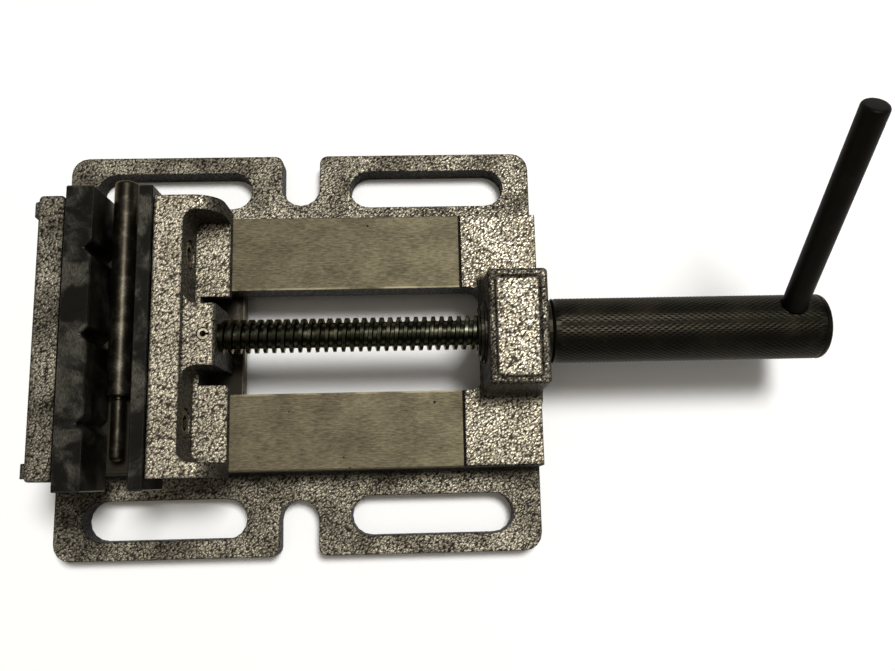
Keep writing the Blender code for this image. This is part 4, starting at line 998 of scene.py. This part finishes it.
@dataclass
class HandleAssembly:
    """The knurled grip with its neck and bore, and the crank bar across its end."""

    axis_z: float = SCREW_AXIS_Z
    start: float = 42.25 * MM
    end: float = 138.85 * MM
    radius: float = 11.4 * MM
    end_radius: float = 2.0 * MM
    neck_radius: float = 8.5 * MM
    neck_start: float = 16.75 * MM
    groove: tuple[float, float] = (17.45 * MM, 18.65 * MM)
    groove_cut: float = 0.8 * MM
    bore_radius: float = 6.4 * MM
    bore_end: float = 119.65 * MM
    outer_chamfer: float = 0.6 * MM
    neck_chamfer: float = 0.3 * MM
    ridges: int = 48
    rows: int = 72
    knurl_depth: float = 0.32 * MM
    near_margin: float = 0.9 * MM
    far_margin: float = 0.35 * MM
    crank_x: float = 126.25 * MM
    crank_lean: float = 34.8
    crank_seat: float = 10.0 * MM
    crank_gap: float = 0.3 * MM
    hole_radius: float = 4.6 * MM
    spigot_hole: float = 2.8 * MM
    hole_steps: int = 48
    sharp_angle: float = 28.0
    crank: CrankBar = field(default_factory=CrankBar)

    @property
    def crank_foot(self) -> Vector:
        """Where the crank bar's line crosses the screw's axis."""
        return Vector((self.crank_x, 0.0, self.axis_z))

    @property
    def crank_line(self) -> Vector:
        """The crank bar's direction."""
        lean = math.radians(self.crank_lean)
        return Vector((0.0, math.sin(lean), math.cos(lean)))

    @property
    def knurl_ends(self) -> tuple[float, float]:
        """Where the knurl starts and ends along the axis."""
        return self.start + self.near_margin, self.end - self.end_radius - self.far_margin

    def build(self, ring: bpy.types.Material) -> None:
        """Builds the grip and the crank bar, and dresses the inner washer and the ring.

        Args:
            ring: The finish of washer and ring.
        """
        hand_over(self.build_grip(), KNURL_STEEL.build(), Body.HANDLE,
                  "handle_sleeve")
        shoulder = self.crank_foot + self.crank_line * (self.crank_seat + self.crank_gap)
        bar = self.crank.build("mounted_bar", shoulder, self.crank_line)
        hand_over(bar, CRANK_STEEL.build(), Body.HANDLE, "crank_bar")
        for node in ("inner_thrust_washer", "retaining_ring"):
            dress(node, ring)

    def build_grip(self) -> bpy.types.Object:
        """Builds the grip from one ring of quads, repeated, raised to a knurl and closed.

        Returns:
            The grip.
        """
        first, last = self.knurl_ends
        row = (last - first) / self.rows
        low = self.radius - self.knurl_depth
        deselect()
        bpy.ops.mesh.primitive_cylinder_add(
            vertices=2 * self.ridges, radius=low, depth=row, end_fill_type="NOTHING",
            location=(first + row / 2, 0, self.axis_z), rotation=(0, math.pi / 2, 0))
        grip = bpy.context.object
        grip.name = grip.data.name = "knurled_grip"
        bpy.ops.object.transform_apply(location=True, rotation=True, scale=True)
        apply_modifier(grip, "ARRAY", count=self.rows, use_relative_offset=False,
                       use_constant_offset=True, constant_offset_displace=(row, 0, 0),
                       use_merge_vertices=True, merge_threshold=10 * MERGE)
        self.raise_knurl(grip, first, row, low)
        self.close_far_end(grip)
        self.close_near_end(grip)
        self.drill(grip)
        settle(grip, self.sharp_angle)
        return grip

    def raise_knurl(self, grip: bpy.types.Object, first: float, row: float, low: float) -> None:
        """Raises every second point of the grid, which makes a field of small pyramids.

        Args:
            grip: The open tube.
            first: Where its first ring is along the axis.
            row: The distance between its rings.
            low: Its radius.
        """
        around = 2 * self.ridges
        bpy.ops.object.mode_set(mode="EDIT")
        bpy.ops.mesh.select_mode(type="VERT")
        bpy.ops.mesh.select_all(action="DESELECT")
        form = bmesh.from_edit_mesh(grip.data)
        for vert in form.verts:
            turn = round(math.atan2(vert.co.y, vert.co.z - self.axis_z) / math.tau * around)
            ring = round((vert.co.x - first) / row)
            vert.select_set(0 < ring < self.rows and (turn + ring) % 2 == 1)
        bmesh.update_edit_mesh(grip.data)
        grow = self.radius / low
        bpy.ops.transform.resize(value=(1, grow, grow), center_override=(0, 0, self.axis_z))
        bpy.ops.mesh.select_all(action="SELECT")
        bpy.ops.mesh.quads_convert_to_tris(quad_method="SHORTEST_DIAGONAL")

    def pull(self, grip: bpy.types.Object, x: float,
             outline: list[tuple[float, float]]) -> None:
        """Extrudes the open ring at one place along the axis through a list of rings.

        Args:
            grip: The grip, in edit mode.
            x: Where the open ring is.
            outline: Place along the axis and radius of each new ring.
        """
        bpy.ops.mesh.select_all(action="DESELECT")
        form = bmesh.from_edit_mesh(grip.data)
        radius = 0.0
        for vert in form.verts:
            if abs(vert.co.x - x) < 0.1 * MM and vert.is_boundary:
                vert.select_set(True)
                radius = math.hypot(vert.co.y, vert.co.z - self.axis_z)
        form.select_flush(True)
        bmesh.update_edit_mesh(grip.data)
        for place, size in outline:
            bpy.ops.mesh.extrude_region_move(
                TRANSFORM_OT_translate={"value": (place - x, 0, 0)})
            bpy.ops.transform.resize(value=(1, size / radius, size / radius),
                                     center_override=(0, 0, self.axis_z))
            x, radius = place, size
        bpy.ops.mesh.edge_face_add()

    def close_far_end(self, grip: bpy.types.Object) -> None:
        """Rounds and closes the end by the crank bar."""
        center = (self.end - self.end_radius, self.radius - self.end_radius)
        self.pull(grip, self.knurl_ends[1], quarter(center, self.end_radius, 90, 0))

    def close_near_end(self, grip: bpy.types.Object) -> None:
        """Makes the shoulder, the neck with its groove, and the bore for the lead screw.

        Args:
            grip: The grip, in edit mode.
        """
        neck, bore = self.neck_radius, self.bore_radius
        outer, edge = self.outer_chamfer, self.neck_chamfer
        outline = [(self.start + outer, self.radius), (self.start, self.radius - outer),
                   (self.start, neck), (self.groove[1], neck),
                   (self.groove[1], neck - self.groove_cut),
                   (self.groove[0], neck - self.groove_cut), (self.groove[0], neck),
                   (self.neck_start + edge, neck), (self.neck_start, neck - edge),
                   (self.neck_start, bore + edge), (self.neck_start + edge, bore),
                   (self.bore_end, bore)]
        self.pull(grip, self.knurl_ends[0], outline)
        bpy.ops.mesh.select_all(action="SELECT")
        bpy.ops.mesh.normals_make_consistent(inside=False)
        bpy.ops.object.mode_set(mode="OBJECT")

    def drill(self, grip: bpy.types.Object) -> None:
        """Cuts the crank bar's counterbored hole with its broken edge.

        Args:
            grip: The closed grip.
        """
        seat, reach = self.crank_seat, 2 * self.radius
        broken = self.radius - self.outer_chamfer
        profile = [(-reach, 0.0), (-reach, self.spigot_hole), (seat, self.spigot_hole),
                   (seat, self.hole_radius), (broken, self.hole_radius),
                   (reach, self.hole_radius + reach - broken), (reach, 0.0)]
        tool = turned_piece("crank_hole_tool", profile, self.crank_foot, self.crank_line,
                            self.hole_steps)
        apply_modifier(grip, "BOOLEAN", operation="DIFFERENCE", solver="EXACT", object=tool)
        bpy.data.objects.remove(tool)


def main() -> None:
    """Builds the studio and the assemblies in order."""
    logging.basicConfig(level=logging.INFO, format="%(name)s: %(message)s")
    Studio().build()
    plate, fastener = PLATE_STEEL.build(), FASTENER_STEEL.build()
    ring = WASHER_STEEL.build()
    BaseAssembly().build(plate, fastener, ring)
    JawAssembly().build(plate, fastener)
    HandleAssembly().build(ring)


if __name__ == "__main__":
    main()
